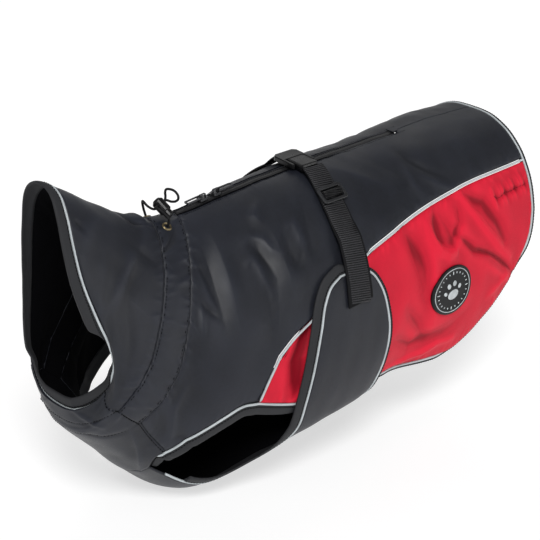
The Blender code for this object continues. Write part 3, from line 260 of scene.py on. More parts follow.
# A deep dent along the flap's front edge on the red panels; the red cloth's painted shade darkens it.
FLAP_DENT = Fold("flap_dent", -9.0, 9, [(-33, 62), (-42, 74), (-46, 84), (-43, 92), (-38, 99)])
FAR_SHIFT = 9
FAR_SHARE = 0.8
MM_PER_DEGREE = 1.9
RIPPLES, RIPPLE_HEIGHT, RIPPLE_FADE = 14, 0.10, 20

Edge = namedtuple("Edge", "station turn")

CHEST_SEAM = [Edge(-303, 133), Edge(-272, 131), Edge(-240, 126), Edge(-205, 120.5),
              Edge(-174, 121), Edge(-160, 125.5), Edge(-133.5, 130)]
CHEST_HEM = [Edge(-133.5, 130), Edge(-133.5, 139.5), Edge(-125, 149)]
LEG_HEM = [Edge(-133.5, 130), Edge(-123, 115.5), Edge(-112, 107.5), Edge(-101, 101.5),
           Edge(-88, 97), Edge(-73.5, 97)]
SEAM_RISE = [Edge(-73.5, 97), Edge(-70.5, 88), Edge(-66, 80)]
SEAM = [Edge(-66, 80), Edge(-55, 74.4), Edge(-38, 69.6), Edge(-12, 62.4), Edge(14, 56), Edge(60, 52),
        Edge(104, 49.3), Edge(145, 49.2), Edge(200, 52), Edge(246, 53)]
SIDE_HEM = [Edge(-73.5, 97), Edge(-46, 101), Edge(0, 108), Edge(48, 114), Edge(88, 121),
            Edge(117, 119), Edge(148, 115.5), Edge(180, 108.3), Edge(206, 100.5), Edge(225, 92.5),
            Edge(238, 84.5), Edge(244, 76)]
TAIL_LOW = [Edge(244, 76), Edge(246, 65), Edge(246, 53)]
FLAP_FRONT = [Edge(-14, 59), Edge(-24, 61.5), Edge(-29, 66), Edge(-31.5, 75), Edge(-32.5, 90),
              Edge(-31, 103), Edge(-28, 114), Edge(-29, 124), Edge(-36, 137)]
STEM_SIDE = [Edge(-36, 137), Edge(-52, 145.5), Edge(-72, 148.3), Edge(-94, 149), Edge(-125, 149)]
FLAP_REAR = [Edge(2, 59.2), Edge(17, 62.5), Edge(28, 70), Edge(34.5, 79), Edge(39.5, 90),
             Edge(40.5, 103), Edge(37, 117), Edge(34, 133), Edge(33, 150), Edge(32, 180)]
STEM_EDGE, STEM_MIDDLE = STEM_SIDE[-1], Edge(-120, 180)
TUCK_TURN, TUCK_SPREAD = 112, 46
TUCK_START, TUCK_END = -72, 10
TUCK_HEIGHT = 58
SPINE_KNOTS = (-146, -84)

Knot = namedtuple("Knot", "along across beside")

CORD_IN = [Knot(-13.1, 0.0, -20.4), Knot(-16.2, -4.1, -9.9), Knot(-7.6, -9.3, -3.4), Knot(-1.5, -6.0, -2.7)]
CORD_LOOP = [Knot(-1.5, 6.0, -2.7), Knot(-2.9, 10.3, -2.3), Knot(-5.3, 12.5, -0.4), Knot(-8.0, 12.6, 3.4),
             Knot(-8.0, 11.6, 9.1), Knot(-2.5, 11.8, 14.2), Knot(3.0, 12.7, 13.6), Knot(6.0, 13.3, 9.4),
             Knot(5.5, 12.6, 5.0), Knot(2.7, 10.6, 2.5), Knot(-1.5, 6.0, 2.7)]
CORD_OUT = [Knot(-1.5, -6.0, 2.7), Knot(0.8, -10.3, 5.5), Knot(6.0, -10.4, 7.3), Knot(14.8, -7.1, 3.8)]

# Rows and columns of the solids' nets, which every net here has FINE times over.
CHEST_SEAM_ROWS, LEG_HEM_ROWS, RISE_ROWS, SEAM_ROWS = 3, 7, 4, 17
BACK_COLUMNS = 7
COLLAR_STATIONS = 3 * BACK_COLUMNS
COLLAR_ROWS, TUNNEL_ROWS = 5, 3
CHEST_HEM_ROWS = 3
WING_ROWS, STEM_ROWS, STEM_COLUMNS, FLAP_COLUMNS = 12, 5, 6, 7

# Each panel's cut, in metres: width and length, area, how it is held, what carries it, and what is
# sewn on it.
SHEETS = [
    ("collar_shell", (0.128, 0.438), 0.0315, "draped", ["tunnel_shell"],
     ["neck_binding_tape", "neck_piping_tube", "neck_stitches"]),
    ("tunnel_shell", (0.035, 0.452), 0.0139, "gathered", ["back_shell_left", "back_shell_right"],
     ["tunnel_stitches_front", "tunnel_stitches_rear"]),
    ("chest_shell", (0.113, 0.172), 0.0160, "hung", ["tunnel_shell"],
     ["chest_stitches_left", "chest_stitches_right", "channel_front_stitches", "channel_rear_stitches"]),
    ("back_shell_left", (0.256, 0.425), 0.0595, "draped", ["zip_film"], ["zip_stitches_left"]),
    ("back_shell_right", (0.256, 0.425), 0.0595, "draped", ["zip_film"], ["zip_stitches_right"]),
    ("side_shell_left", (0.200, 0.350), 0.0488, "hung", ["back_shell_left"],
     ["seam_piping_tube_left", "dart_stitches_left", "ruche_stitches_left"]),
    ("side_shell_right", (0.200, 0.350), 0.0488, "hung", ["back_shell_right"],
     ["seam_piping_tube_right", "dart_stitches_right", "ruche_stitches_right"]),
    ("flap_shell", (0.220, 0.587), 0.0650, "hung", ["chest_shell", "webbing_left", "webbing_right"],
     ["flap_binding_tape", "flap_piping_tube", "flap_stitches"]),
]


# ---------------------------------------------------------------- the body form

def smoothstep(value):
    value = np.clip(value, 0.0, 1.0)
    return value * value * (3 - 2 * value)


def spline(keys, values, at):
    """A curve through rows of a table: cubic between rows, straight beyond its ends."""
    keys, values, at = (np.asarray(x, float) for x in (keys, values, at))
    steps = np.diff(keys)
    rates = np.diff(values) / steps
    slopes = np.concatenate([
        rates[:1],
        (rates[:-1] * steps[1:] + rates[1:] * steps[:-1]) / (steps[:-1] + steps[1:]),
        rates[-1:],
    ])
    row = np.clip(np.searchsorted(keys, at, side="right") - 1, 0, len(keys) - 2)
    step = steps[row]
    t = (at - keys[row]) / step
    inside = (
        (1 + 2 * t) * (1 - t) ** 2 * values[row]
        + t * (1 - t) ** 2 * step * slopes[row]
        + t * t * (3 - 2 * t) * values[row + 1]
        + t * t * (t - 1) * step * slopes[row + 1]
    )
    before = values[0] + (at - keys[0]) * slopes[0]
    after = values[-1] + (at - keys[-1]) * slopes[-1]
    return np.where(t < 0, before, np.where(t > 1, after, inside))


STATIONS = [row.back_x for row in SECTIONS]


def section_value(name, station):
    return spline(STATIONS, [getattr(row, name) for row in SECTIONS], station)


def bare_form(station, turn):
    """A point of the body form in millimetres, for arrays of stations and turns."""
    station, turn = np.broadcast_arrays(np.asarray(station, float), np.asarray(turn, float))
    angle = np.radians(turn)
    down = (1 - np.cos(angle)) / 2
    share = down ** (np.log(section_value("widest", station)) / math.log(0.5))
    high = np.where(turn % 360 < 180, section_value("lean_high", station), section_value("far_high", station))
    low = np.where(turn % 360 < 180, section_value("lean_low", station), section_value("far_low", station))
    back_x, back_z = section_value("back_x", station), section_value("back_z", station)
    lean = 2 * (high * (1 - down) + low * down) * np.sin(angle) ** 2
    x = back_x + (section_value("belly_x", station) - back_x) * share + lean
    z = back_z + (section_value("belly_z", station) - back_z) * share
    swing = np.sin(angle)
    y = -section_value("half_width", station) * np.sign(swing) * np.abs(swing) ** section_value("square", station)
    return np.stack([x, y, z], axis=-1)


def form_normal(station, turn):
    """The outward direction of the bare form at each place."""
    step, twist = 0.5, 0.2
    along = bare_form(np.add(station, step), turn) - bare_form(np.subtract(station, step), turn)
    around = bare_form(station, np.add(turn, twist)) - bare_form(station, np.subtract(turn, twist))
    normal = np.cross(around, along)
    return normal / np.linalg.norm(normal, axis=-1, keepdims=True)


def near_line(station, turn, points):
    """How far each place is from a line of points, in millimetres, and how far along it, 0 to 1."""
    line = np.array(points, float) * [1, MM_PER_DEGREE]
    place = np.stack([station, turn * MM_PER_DEGREE], axis=-1)
    lengths = np.linalg.norm(np.diff(line, axis=0), axis=1)
    done = np.concatenate([[0], np.cumsum(lengths)])
    best = np.full(place.shape[:-1], np.inf)
    along = np.zeros(place.shape[:-1])
    for index, (start, run) in enumerate(zip(line, np.diff(line, axis=0))):
        share = np.clip(((place - start) @ run) / (run @ run), 0, 1)
        away = np.linalg.norm(place - start - share[..., None] * run, axis=-1)
        closer = away < best
        best = np.where(closer, away, best)
        along = np.where(closer, (done[index] + share * lengths[index]) / done[-1], along)
    return best, along


def crest(away):
    """The profile of a fold: a rounded foot and a crisper crest."""
    return 0.55 * np.exp(-away ** 2) + 0.45 * np.exp(-1.7 * away)


def fold_height(station, turn):
    """How far the folds lift the cloth at a place, in millimetres."""
    station, turn = np.broadcast_arrays(np.asarray(station, float), np.asarray(turn, float))
    turn = (turn + 180) % 360 - 180
    height = np.zeros(station.shape)
    for fold in BROAD_FOLDS + SMALL_FOLDS + RUCHE_FOLDS:
        for side in (1, -1):
            shift = 0 if side > 0 else FAR_SHIFT
            tall = fold.height * (1 if side > 0 else FAR_SHARE)
            away, along = near_line(station - shift, side * turn, fold.points)
            fade = 0.35 + 0.65 * np.sin(np.pi * along)
            height = height + tall * fade * crest(away / fold.width)
    return height + ripple(station, turn)


def ripple(station, turn):
    """A faint unevenness all over, in millimetres: a sum of waves in fixed directions."""
    height = np.zeros(station.shape)
    for index in range(RIPPLES):
        angle = 2.399 * index
        length = 24 + 5.5 * index
        across = station * math.cos(angle) + turn * MM_PER_DEGREE * math.sin(angle)
        bend = 7 * np.sin(across / 31 + index)
        beside = turn * MM_PER_DEGREE * math.cos(angle) - station * math.sin(angle)
        wave = (across + bend) * 2 * math.pi / length + beside / 47 + 1.7 * index
        height = height + RIPPLE_HEIGHT * np.sin(wave)
    seam_at_belly = np.clip((180 - np.abs(turn)) / RIPPLE_FADE, 0, 1)
    return height * seam_at_belly


def form(station, turn, out=0.0):
    """A point on the cloth in metres, out millimetres above the outer face of the panels."""
    lift = np.asarray(out, float) + fold_height(station, turn)
    return (bare_form(station, turn) + form_normal(station, turn) * lift[..., None]) * MM


def turn_for(station, reach):
    """The turn at which the form is this far from the spine's plane, in degrees."""
    sine = np.asarray(reach, float) / section_value("half_width", station)
    return np.degrees(np.arcsin(sine ** (1 / section_value("square", station))))


def edge_line(rows, count):
    """A smooth line through a table of edge points, in FINE steps for each of count."""
    points = np.array([(row.station, row.turn) for row in rows], float)
    lengths = np.linalg.norm(np.diff(points, axis=0) * [1, MM_PER_DEGREE], axis=1)
    keys = np.concatenate([[0], np.cumsum(lengths)])
    at = np.linspace(0, keys[-1], count * FINE + 1)
    return np.stack([spline(keys, points[:, 0], at), spline(keys, points[:, 1], at)], axis=-1)


def mirrored(line):
    return line * [1, -1]


def far_side(line):
    """A line of the near side on the far side, with turns past the belly."""
    return line * [1, -1] + [0, 360]


def joined(*lines):
    return np.concatenate([lines[0]] + [line[1:] for line in lines[1:]])


def over_spine(line):
    """A line that starts on the spine, with its mirror image before it."""
    return joined(mirrored(line)[::-1], line)


def under_belly(near, *middle):
    """A line of the near side, what lies between under the belly, and the same line of the far side."""
    return joined(near, *middle, far_side(near)[::-1])


def patch(top, low, front, rear):
    """Stations and turns over a four-sided piece, from its four edge lines."""
    u = np.linspace(0, 1, len(top))[:, None, None]
    v = np.linspace(0, 1, len(front))[None, :, None]
    corners = (
        (1 - u) * (1 - v) * top[0] + (1 - u) * v * low[0] + u * (1 - v) * top[-1] + u * v * low[-1]
    )
    return (
        (1 - v) * top[:, None] + v * low[:, None] + (1 - u) * front[None] + u * rear[None] - corners
    )


def edge_frames(points, normals, closed=False):
    """The direction that leaves a piece at each point of its edge, lying in the cloth."""
    if closed:
        ahead = np.roll(points, -1, axis=0) - points
        behind = points - np.roll(points, 1, axis=0)
    else:
        ahead = np.diff(points, axis=0, append=points[-1:])
        behind = np.diff(points, axis=0, prepend=points[:1])
    ahead = ahead / np.maximum(np.linalg.norm(ahead, axis=1, keepdims=True), 1e-9)
    behind = behind / np.maximum(np.linalg.norm(behind, axis=1, keepdims=True), 1e-9)
    tangent = ahead + behind
    tangent /= np.linalg.norm(tangent, axis=1, keepdims=True)
    across = np.cross(tangent, normals)
    return across / np.linalg.norm(across, axis=1, keepdims=True)


# ---------------------------------------------------------------- materials

class Graph:
    """A material's nodes, made in a row."""

    def __init__(self, name, colour, roughness, **sockets):
        self.material = bpy.data.materials.new(name)
        self.material.use_nodes = True
        self.tree = self.material.node_tree
        self.shader = self.tree.nodes["Principled BSDF"]
        self.shader.inputs["Base Color"].default_value = (*colour, 1)
        self.shader.inputs["Roughness"].default_value = roughness
        for socket, value in sockets.items():
            self.shader.inputs[socket.replace("_", " ")].default_value = value
        self.material.diffuse_color = (*colour, 1)
        self.normal = None

    def add(self, kind, settings=None, **inputs):
        """A node with its inputs set or linked. An input is named, or numbered as i0, i1 and on."""
        node = self.tree.nodes.new(kind)
        for name, value in (settings or {}).items():
            setattr(node, name, value)
        for name, value in inputs.items():
            numbered = name[0] == "i" and name[1:].isdigit()
            socket = node.inputs[int(name[1:]) if numbered else name.replace("_", " ")]
            if hasattr(value, "links"):
                self.tree.links.new(value, socket)
            else:
                socket.default_value = value
        return node

    def math(self, operation, *values):
        return self.add("ShaderNodeMath", {"operation": operation},
                        **{f"i{index}": value for index, value in enumerate(values)}).outputs[0]

    def object_place(self):
        return self.add("ShaderNodeTexCoord").outputs["Object"]

    def noise(self, place, scale, detail=2.0, roughness=0.5):
        return self.add("ShaderNodeTexNoise", Vector=place, Scale=scale, Detail=detail,
                        Roughness=roughness).outputs["Fac"]

    def levels(self, value, low, high, to_low=0.0, to_high=1.0):
        node = self.add("ShaderNodeMapRange", Value=value, i1=low, i2=high, i3=to_low, i4=to_high)
        return node.outputs[0]

    def mix(self, share, one, two):
        return self.add("ShaderNodeMix", {"data_type": "RGBA"}, i0=share, i6=one, i7=two).outputs[2]

    def colour(self, value):
        self.tree.links.new(value, self.shader.inputs["Base Color"])

    def roughness(self, value):
        self.tree.links.new(value, self.shader.inputs["Roughness"])

    def bump(self, height, depth_mm, strength=1.0):
        inputs = {"Height": height, "Distance": depth_mm * MM, "Strength": strength}
        if self.normal:
            inputs["Normal"] = self.normal
        self.normal = self.add("ShaderNodeBump", **inputs).outputs["Normal"]
        self.tree.links.new(self.normal, self.shader.inputs["Normal"])


def rgba(colour, times=1.0):
    return (*(min(1.0, channel * times) for channel in colour), 1)


def woven(name, colour, roughness, pitch, depth, worn=1.35, dark=0.72, crinkle=0.10, hollow=0.8,
          ridge_highlight=1.1, **sockets):
    """Plain-woven cloth, with painted shade in its fold hollows and a painted highlight on its fold ridges. pitch
    is a thread's width.
    """
    graph = Graph(name, colour, roughness, **sockets)
    place = graph.object_place()
    cut = graph.add("ShaderNodeUVMap", {"uv_map": "cut"}).outputs["UV"]
    along, across, _ = graph.add("ShaderNodeSeparateXYZ", Vector=cut).outputs
    turns = math.pi / pitch
    warp = graph.math("SINE", graph.math("MULTIPLY", along, turns))
    weft = graph.math("SINE", graph.math("MULTIPLY", across, turns))
    weave = graph.math("MULTIPLY_ADD", graph.math("MULTIPLY", warp, weft), 0.5, 0.5)
    cloud = graph.noise(place, 16, 4, 0.6)
    streak = graph.noise(place, 260, 3, 0.7)
    shade = graph.math("ADD", graph.math("MULTIPLY", cloud, 0.55), graph.math("MULTIPLY", streak, 0.45))
    mixed = graph.mix(graph.levels(shade, 0.32, 0.68), rgba(colour, dark), rgba(colour, worn))
    mixed = graph.mix(graph.levels(weave, 0.0, 0.45, 0.28, 0.0), mixed, rgba(colour, 0.35))
    # Painted highlight on the fold ridges and painted shade in the fold hollows, both read from the cloth's
    # relief.
    relief = graph.add("ShaderNodeAttribute", {"attribute_name": "relief"}).outputs["Fac"]
    mixed = graph.mix(graph.levels(relief, 0.1, 1.2, 0.0, 0.6), mixed, rgba(colour, ridge_highlight * worn))
    mixed = graph.mix(graph.levels(relief, -0.3, -1.6, 0.0, 0.8), mixed, rgba(colour, hollow * dark))
    graph.colour(mixed)
    graph.roughness(graph.levels(cloud, 0.3, 0.7, roughness - 0.05, roughness + 0.07))
    graph.bump(graph.noise(place, 95, 4, 0.55), crinkle * 2.2, 0.6)
    graph.bump(weave, depth, 0.7)
    return graph.material


def moulded(name, colour, roughness, grain=0.05, **sockets):
    """Moulded plastic or rubber with a fine spark-eroded grain and duller, handled places."""
    graph = Graph(name, colour, roughness, **sockets)
    place = graph.object_place()
    cloud = graph.noise(place, 60, 4, 0.6)
    graph.colour(graph.mix(graph.levels(cloud, 0.35, 0.7), rgba(colour, 0.8), rgba(colour, 1.5)))
    graph.roughness(graph.levels(cloud, 0.3, 0.7, roughness - 0.06, roughness + 0.12))
    graph.bump(graph.noise(place, 2600, 2, 0.6), grain, 0.5)
    return graph.material


def metal(name, colour, roughness, **sockets):
    """Painted or plated metal, rubbed brighter in small places."""
    graph = Graph(name, colour, roughness, **sockets)
    place = graph.object_place()
    worn = graph.levels(graph.noise(place, 420, 5, 0.65), 0.56, 0.72)
    graph.colour(graph.mix(worn, rgba(colour), rgba(colour, 2.6)))
    graph.roughness(graph.levels(graph.noise(place, 900, 3, 0.5), 0.3, 0.7, roughness - 0.06, roughness + 0.14))
    graph.bump(graph.noise(place, 1500, 2, 0.5), 0.02, 0.4)
    return graph.material


def beaded(name, colour, roughness, **sockets):
    """Reflective piping: a smooth tape with a fine grain of beads over a cord."""
    graph = Graph(name, colour, roughness, **sockets)
    place = graph.object_place()
    beads = graph.add("ShaderNodeTexVoronoi", Vector=place, Scale=2600.0).outputs["Distance"]
    cloud = graph.noise(place, 70, 4, 0.6)
    tone = graph.mix(graph.levels(cloud, 0.3, 0.7), rgba(colour, 0.82), rgba(colour, 1.12))
    graph.colour(graph.mix(graph.levels(beads, 0.2, 0.7, 0.0, 0.35), tone, rgba(colour, 0.6)))
    graph.bump(beads, 0.05, 0.5)
    return graph.material


def braided(name, colour, roughness, **sockets):
    """Braided cord."""
    graph = Graph(name, colour, roughness, **sockets)
    place = graph.object_place()
    cells = graph.add("ShaderNodeTexVoronoi", Vector=place, Scale=1100.0).outputs["Distance"]
    graph.colour(graph.mix(graph.levels(cells, 0.1, 0.7), rgba(colour, 2.2), rgba(colour, 0.6)))
    graph.bump(cells, 0.16, 0.8)
    return graph.material


BLACK, RED, GREY = (0.0085, 0.0098, 0.0150), (0.53, 0.012, 0.031), (0.50, 0.54, 0.56)
CLOTHS = {
    "nylon": woven("nylon_shell", BLACK, 0.46, 0.45, 0.05, hollow=0.6, ridge_highlight=1.35,
                   Specular_IOR_Level=0.34, Sheen_Weight=0.03, Sheen_Roughness=0.4),
    "red_nylon": woven("red_nylon_shell", RED, 0.50, 0.45, 0.05, worn=1.08, dark=0.94, hollow=0.4,
                       ridge_highlight=1.35, Specular_IOR_Level=0.10, Sheen_Weight=0.03, Sheen_Roughness=0.4),
    "lining": woven("lining", (0.0014, 0.0014, 0.0020), 0.9, 0.8, 0.08, Specular_IOR_Level=0.05),
    "binding": woven("binding_tape", (0.010, 0.0105, 0.0125), 0.7, 0.6, 0.10, crinkle=0.05,
                     Specular_IOR_Level=0.42),
    "webbing": woven("webbing_yarn", (0.016, 0.016, 0.018), 0.55, 0.55, 0.12, crinkle=0.03, worn=1.7,
                     Specular_IOR_Level=0.4),
    # The webbing's ground between its ribs, darker than the ribs' own yarn: painted shade in the gaps.
    "webbing_ground": woven("webbing_ground", (0.004, 0.004, 0.005), 0.7, 0.55, 0.12,
                            Specular_IOR_Level=0.15),
    "zip": woven("zip_tape_film", (0.009, 0.009, 0.010), 0.42, 0.5, 0.03, crinkle=0.04,
                 Specular_IOR_Level=0.4),
    "piping": beaded("reflective_piping", GREY, 0.36, Specular_IOR_Level=0.6),
    "thread": beaded("thread", (0.0015, 0.0015, 0.0018), 0.7, Specular_IOR_Level=0.08),
    "red_thread": beaded("red_thread", (0.10, 0.005, 0.010), 0.7, Specular_IOR_Level=0.1),
    "plastic": moulded("acetal", (0.003, 0.003, 0.0035), 0.27, Specular_IOR_Level=0.3),
    # A lighter, shinier copy of the black acetal for the strap adjuster; its lighter colour is a painted
    # highlight.
    "plastic_painted_highlight": moulded("satin_acetal", (0.012, 0.0125, 0.014), 0.30, Specular_IOR_Level=0.5),
    "metal": metal("black_metal", (0.055, 0.056, 0.060), 0.24, Metallic=0.85),
    "rubber": moulded("patch_rubber", (0.006, 0.0065, 0.007), 0.5, grain=0.06, Specular_IOR_Level=0.22),
    "grey_rubber": moulded("patch_relief", (0.42, 0.45, 0.46), 0.50, grain=0.08),
    "eyelet": metal("brass", (0.20, 0.16, 0.09), 0.34, Metallic=0.9),
    "cord": braided("cord_braid", (0.004, 0.004, 0.005), 0.70, Specular_IOR_Level=0.3),
}


# ---------------------------------------------------------------- pieces

def put(name, data, finish, replaces=(), body="coat", lining=None):
    """A piece of the scene, with its finish, its body, and the nodes that it replaces."""
    piece = bpy.data.objects.new(name, data)
    bpy.context.scene.collection.objects.link(piece)
    data.materials.append(CLOTHS[finish])
    if lining:
        data.materials.append(CLOTHS[lining])
    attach(piece, body)
    if replaces:
        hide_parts(*replaces)
    return piece


def net_relief(net):
    """How far each point of a net stands above its surroundings, in millimetres."""
    smooth = net.copy()
    for axis in (0, 1):
        rows = smooth if axis == 0 else smooth.swapaxes(0, 1)
        cell = np.mean(np.linalg.norm(np.diff(net, axis=axis), axis=-1)) / MM
        for _ in range(min(200, int(2 * (RELIEF_REACH / cell) ** 2))):
            rows[1:-1] = (rows[:-2] + 2 * rows[1:-1] + rows[2:]) / 4
    normal = np.cross(np.gradient(smooth, axis=1), np.gradient(smooth, axis=0))
    normal /= np.maximum(np.linalg.norm(normal, axis=-1, keepdims=True), 1e-12)
    return np.sum((net - smooth) * normal, axis=-1) / MM


def net_mesh(name, nets, around=False):
    """A mesh from nets of points that meet edge to edge, with its cut, in mm, as the map."""
    points, faces, maps = [], [], []
    relief = np.concatenate([net_relief(net).ravel() for net in nets])
    first = 0
    for net in nets:
        rows, columns = net.shape[:2]
        index = first + np.arange(rows * columns).reshape(rows, columns)
        quads = np.stack([index[:-1, :-1], index[:-1, 1:], index[1:, 1:], index[1:, :-1]], axis=-1)
        along = np.zeros((rows, columns))
        along[1:] = np.cumsum(np.linalg.norm(np.diff(net, axis=0), axis=-1), axis=0)
        across = np.zeros((rows, columns))
        across[:, 1:] = np.cumsum(np.linalg.norm(np.diff(net, axis=1), axis=-1), axis=1)
        cut = np.stack([along, across], axis=-1) / MM
        corner = [cut[:-1, :-1], cut[:-1, 1:], cut[1:, 1:], cut[1:, :-1]]
        points.append(net.reshape(-1, 3))
        faces.append(quads.reshape(-1, 4))
        maps.append(np.stack(corner, axis=2).reshape(-1, 2))
        first += rows * columns
    mesh = bpy.data.meshes.new(name)
    mesh.from_pydata(np.concatenate(points).tolist(), [], np.concatenate(faces).tolist())
    layer = mesh.uv_layers.new(name="cut")
    layer.data.foreach_set("uv", np.concatenate(maps).astype(np.float32).ravel())
    # The relief drives the woven materials' painted shade in hollows and painted highlight on ridges.
    mesh.attributes.new("relief", "FLOAT", "POINT").data.foreach_set("value", relief.astype(np.float32))
    if len(nets) > 1 or around:
        bm = bmesh.new()
        bm.from_mesh(mesh)
        bmesh.ops.remove_doubles(bm, verts=bm.verts, dist=0.01 * MM)
        bm.to_mesh(mesh)
        bm.free()
    mesh.shade_smooth()
    return mesh


def cloth(name, nets, finish, replaces, wall=CLOTH, lining="lining"):
    """A panel from nets of its outer face, with a wall inwards and a lining on its inner face."""
    piece = put(name, net_mesh(name, nets), finish, replaces, lining=lining)
    shell = piece.modifiers.new("wall", "SOLIDIFY")
    shell.thickness = wall * MM
    shell.offset = -1
    shell.use_rim = True
    shell.material_offset = 1 if lining else 0
    return piece


def facing_out(points, normals):
    """A net of points, turned over if its faces would look inwards."""
    along = points[1:, :-1] - points[:-1, :-1]
    across = points[:-1, 1:] - points[:-1, :-1]
    if np.sum(np.cross(across, along) * normals[:-1, :-1]) < 0:
        return points[::-1]
    return points


EDGE_ROWS = {"top": (1, 0), "low": (1, -1), "front": (0, 0), "rear": (0, -1)}
ALL_SEWN = {side: SEWN_GAP for side in ("top", "low", "front", "rear")}


def edge_row(side, row=0):
    """The index of a row of a net, counted in from one of its four sides."""
    axis, end = EDGE_ROWS[side]
    index = row if end == 0 else -1 - row
    return np.s_[:, index] if axis else np.s_[index]


def gathers(points, side, tall, spacing, seed, reach=7.0, width=1.7):
    """Short puckers square to one edge of a net, where its stitches draw the cloth in."""
    axis, end = EDGE_ROWS[side]
    net = points if axis == 1 else points.swapaxes(0, 1)
    net = net if end == 0 else net[:, ::-1]
    steps = np.linalg.norm(np.diff(net[:, 0], axis=0), axis=-1)
    along = np.concatenate([[0], np.cumsum(steps)])[:, None] / MM
    away = np.zeros(net.shape[:2])
    away[:, 1:] = np.cumsum(np.linalg.norm(np.diff(net, axis=1), axis=-1), axis=1) / MM
    random = np.random.default_rng(seed)
    height = np.zeros(away.shape)
    count = int(along[-1, 0] / spacing)
    for index in range(count):
        middle = (index + random.uniform(0.2, 0.8)) * spacing
        strength, slant = random.uniform(0.3, 1.0), random.normal(0, 0.35)
        long = reach * random.uniform(0.5, 1.9)
        beside = np.exp(-((along - middle - slant * away) / (width + 0.10 * away)) ** 2)
        height += strength * beside * np.exp(-(away / long) ** 2) * (1 - np.exp(-away / 1.2))
    height *= tall
    height = height if end == 0 else height[:, ::-1]
    return height if axis == 1 else height.swapaxes(0, 1)


def finer(rows, times, axis=0):
    """A net or a row of values with more steps between its own along one axis."""
    rows = np.moveaxis(np.asarray(rows, float), axis, 0)
    at = np.arange((len(rows) - 1) * times + 1) / times
    low = np.minimum(at.astype(int), len(rows) - 2)
    share = (at - low).reshape(-1, *[1] * (rows.ndim - 1))
    return np.moveaxis(rows[low] * (1 - share) + rows[low + 1] * share, 0, axis)


def net_on_form(net, out=0.0, insets=None, tuck=None, puckers=(), roll=(), dent=None, rows=5):
    """The points of a net over the body form, drawn in and puckered at its edges.

    rows is how many rows share an edge's inset, and dent is one deep fold of this net alone.
    """
    station, turn = net[..., 0], net[..., 1]
    points = form(station, turn, out)
    normals = form_normal(station, turn)
    if tuck is not None:
        points = points + tuck(station, turn)
    for side, inset in (insets or {}).items():
        edge = edge_row(side)
        away = edge_frames(points[edge], normals[edge])
        if np.sum(away * (points[edge_row(side, 3)] - points[edge])) > 0:
            away = -away
        shift = away * np.asarray(inset, float).reshape(-1, 1) * MM
        for row in range(rows):
            points[edge_row(side, row)] -= shift * (1 - row / rows) ** 1.5
    lift = np.zeros(points.shape[:2])
    if dent is not None:
        away, along = near_line(station, np.abs(turn), dent.points)
        lift += dent.height * np.sin(np.pi * along) ** 0.5 * np.exp(-(away / dent.width) ** 2)
    for side, tall, spacing, seed in puckers:
        lift += gathers(points, side, tall, spacing, seed)
    for side, depth in roll:
        for row, share in enumerate(ROLL_PROFILE):
            lift[edge_row(side, row)] -= depth * share
    points = points + normals * lift[..., None] * MM
    return facing_out(points, normals)


def tube(name, points, radius, finish, replaces, closed=False, resolution=3):
    """A round cord or piping along a line of points."""
    curve = bpy.data.curves.new(name, "CURVE")
    curve.dimensions = "3D"
    curve.bevel_depth = radius * MM
    curve.bevel_resolution = resolution
    curve.use_fill_caps = not closed
    line = curve.splines.new("POLY")
    line.points.add(len(points) - 1)
    for knot, place in zip(line.points, points):
        knot.co = (*place, 1)
    line.use_cyclic_u = closed
    line.use_smooth = True
    return put(name, curve, finish, replaces)


def follow_tree():
    """A node tree that sets one unit on every point of a mesh, turned by the point's two attributes."""
    tree = bpy.data.node_groups.new("follow_path", "GeometryNodeTree")
    face = tree.interface
    face.new_socket("Geometry", in_out="INPUT", socket_type="NodeSocketGeometry")
    unit = face.new_socket("Unit", in_out="INPUT", socket_type="NodeSocketObject")
    finish = face.new_socket("Finish", in_out="INPUT", socket_type="NodeSocketMaterial")
    face.new_socket("Geometry", in_out="OUTPUT", socket_type="NodeSocketGeometry")
    nodes, links = tree.nodes, tree.links
    start, end = nodes.new("NodeGroupInput"), nodes.new("NodeGroupOutput")
    info, instance = nodes.new("GeometryNodeObjectInfo"), nodes.new("GeometryNodeInstanceOnPoints")
    links.new(start.outputs["Geometry"], instance.inputs["Points"])
    links.new(start.outputs["Unit"], info.inputs["Object"])
    links.new(info.outputs["Geometry"], instance.inputs["Instance"])
    turned = None
    for axis, attribute, pivot in (("Z", "up", "AUTO"), ("X", "ahead", "Z")):
        named = nodes.new("GeometryNodeInputNamedAttribute")
        named.data_type = "FLOAT_VECTOR"
        named.inputs["Name"].default_value = attribute
        align = nodes.new("FunctionNodeAlignRotationToVector")
        align.axis, align.pivot_axis = axis, pivot
        links.new(named.outputs["Attribute"], align.inputs["Vector"])
        if turned:
            links.new(turned, align.inputs["Rotation"])
        turned = align.outputs["Rotation"]
    links.new(turned, instance.inputs["Rotation"])
    realize, paint = nodes.new("GeometryNodeRealizeInstances"), nodes.new("GeometryNodeSetMaterial")
    links.new(instance.outputs["Instances"], realize.inputs["Geometry"])
    links.new(realize.outputs["Geometry"], paint.inputs["Geometry"])
    links.new(start.outputs["Finish"], paint.inputs["Material"])
    links.new(paint.outputs["Geometry"], end.inputs["Geometry"])
    return tree, unit.identifier, finish.identifier


FOLLOW, UNIT_INPUT, FINISH_INPUT = follow_tree()


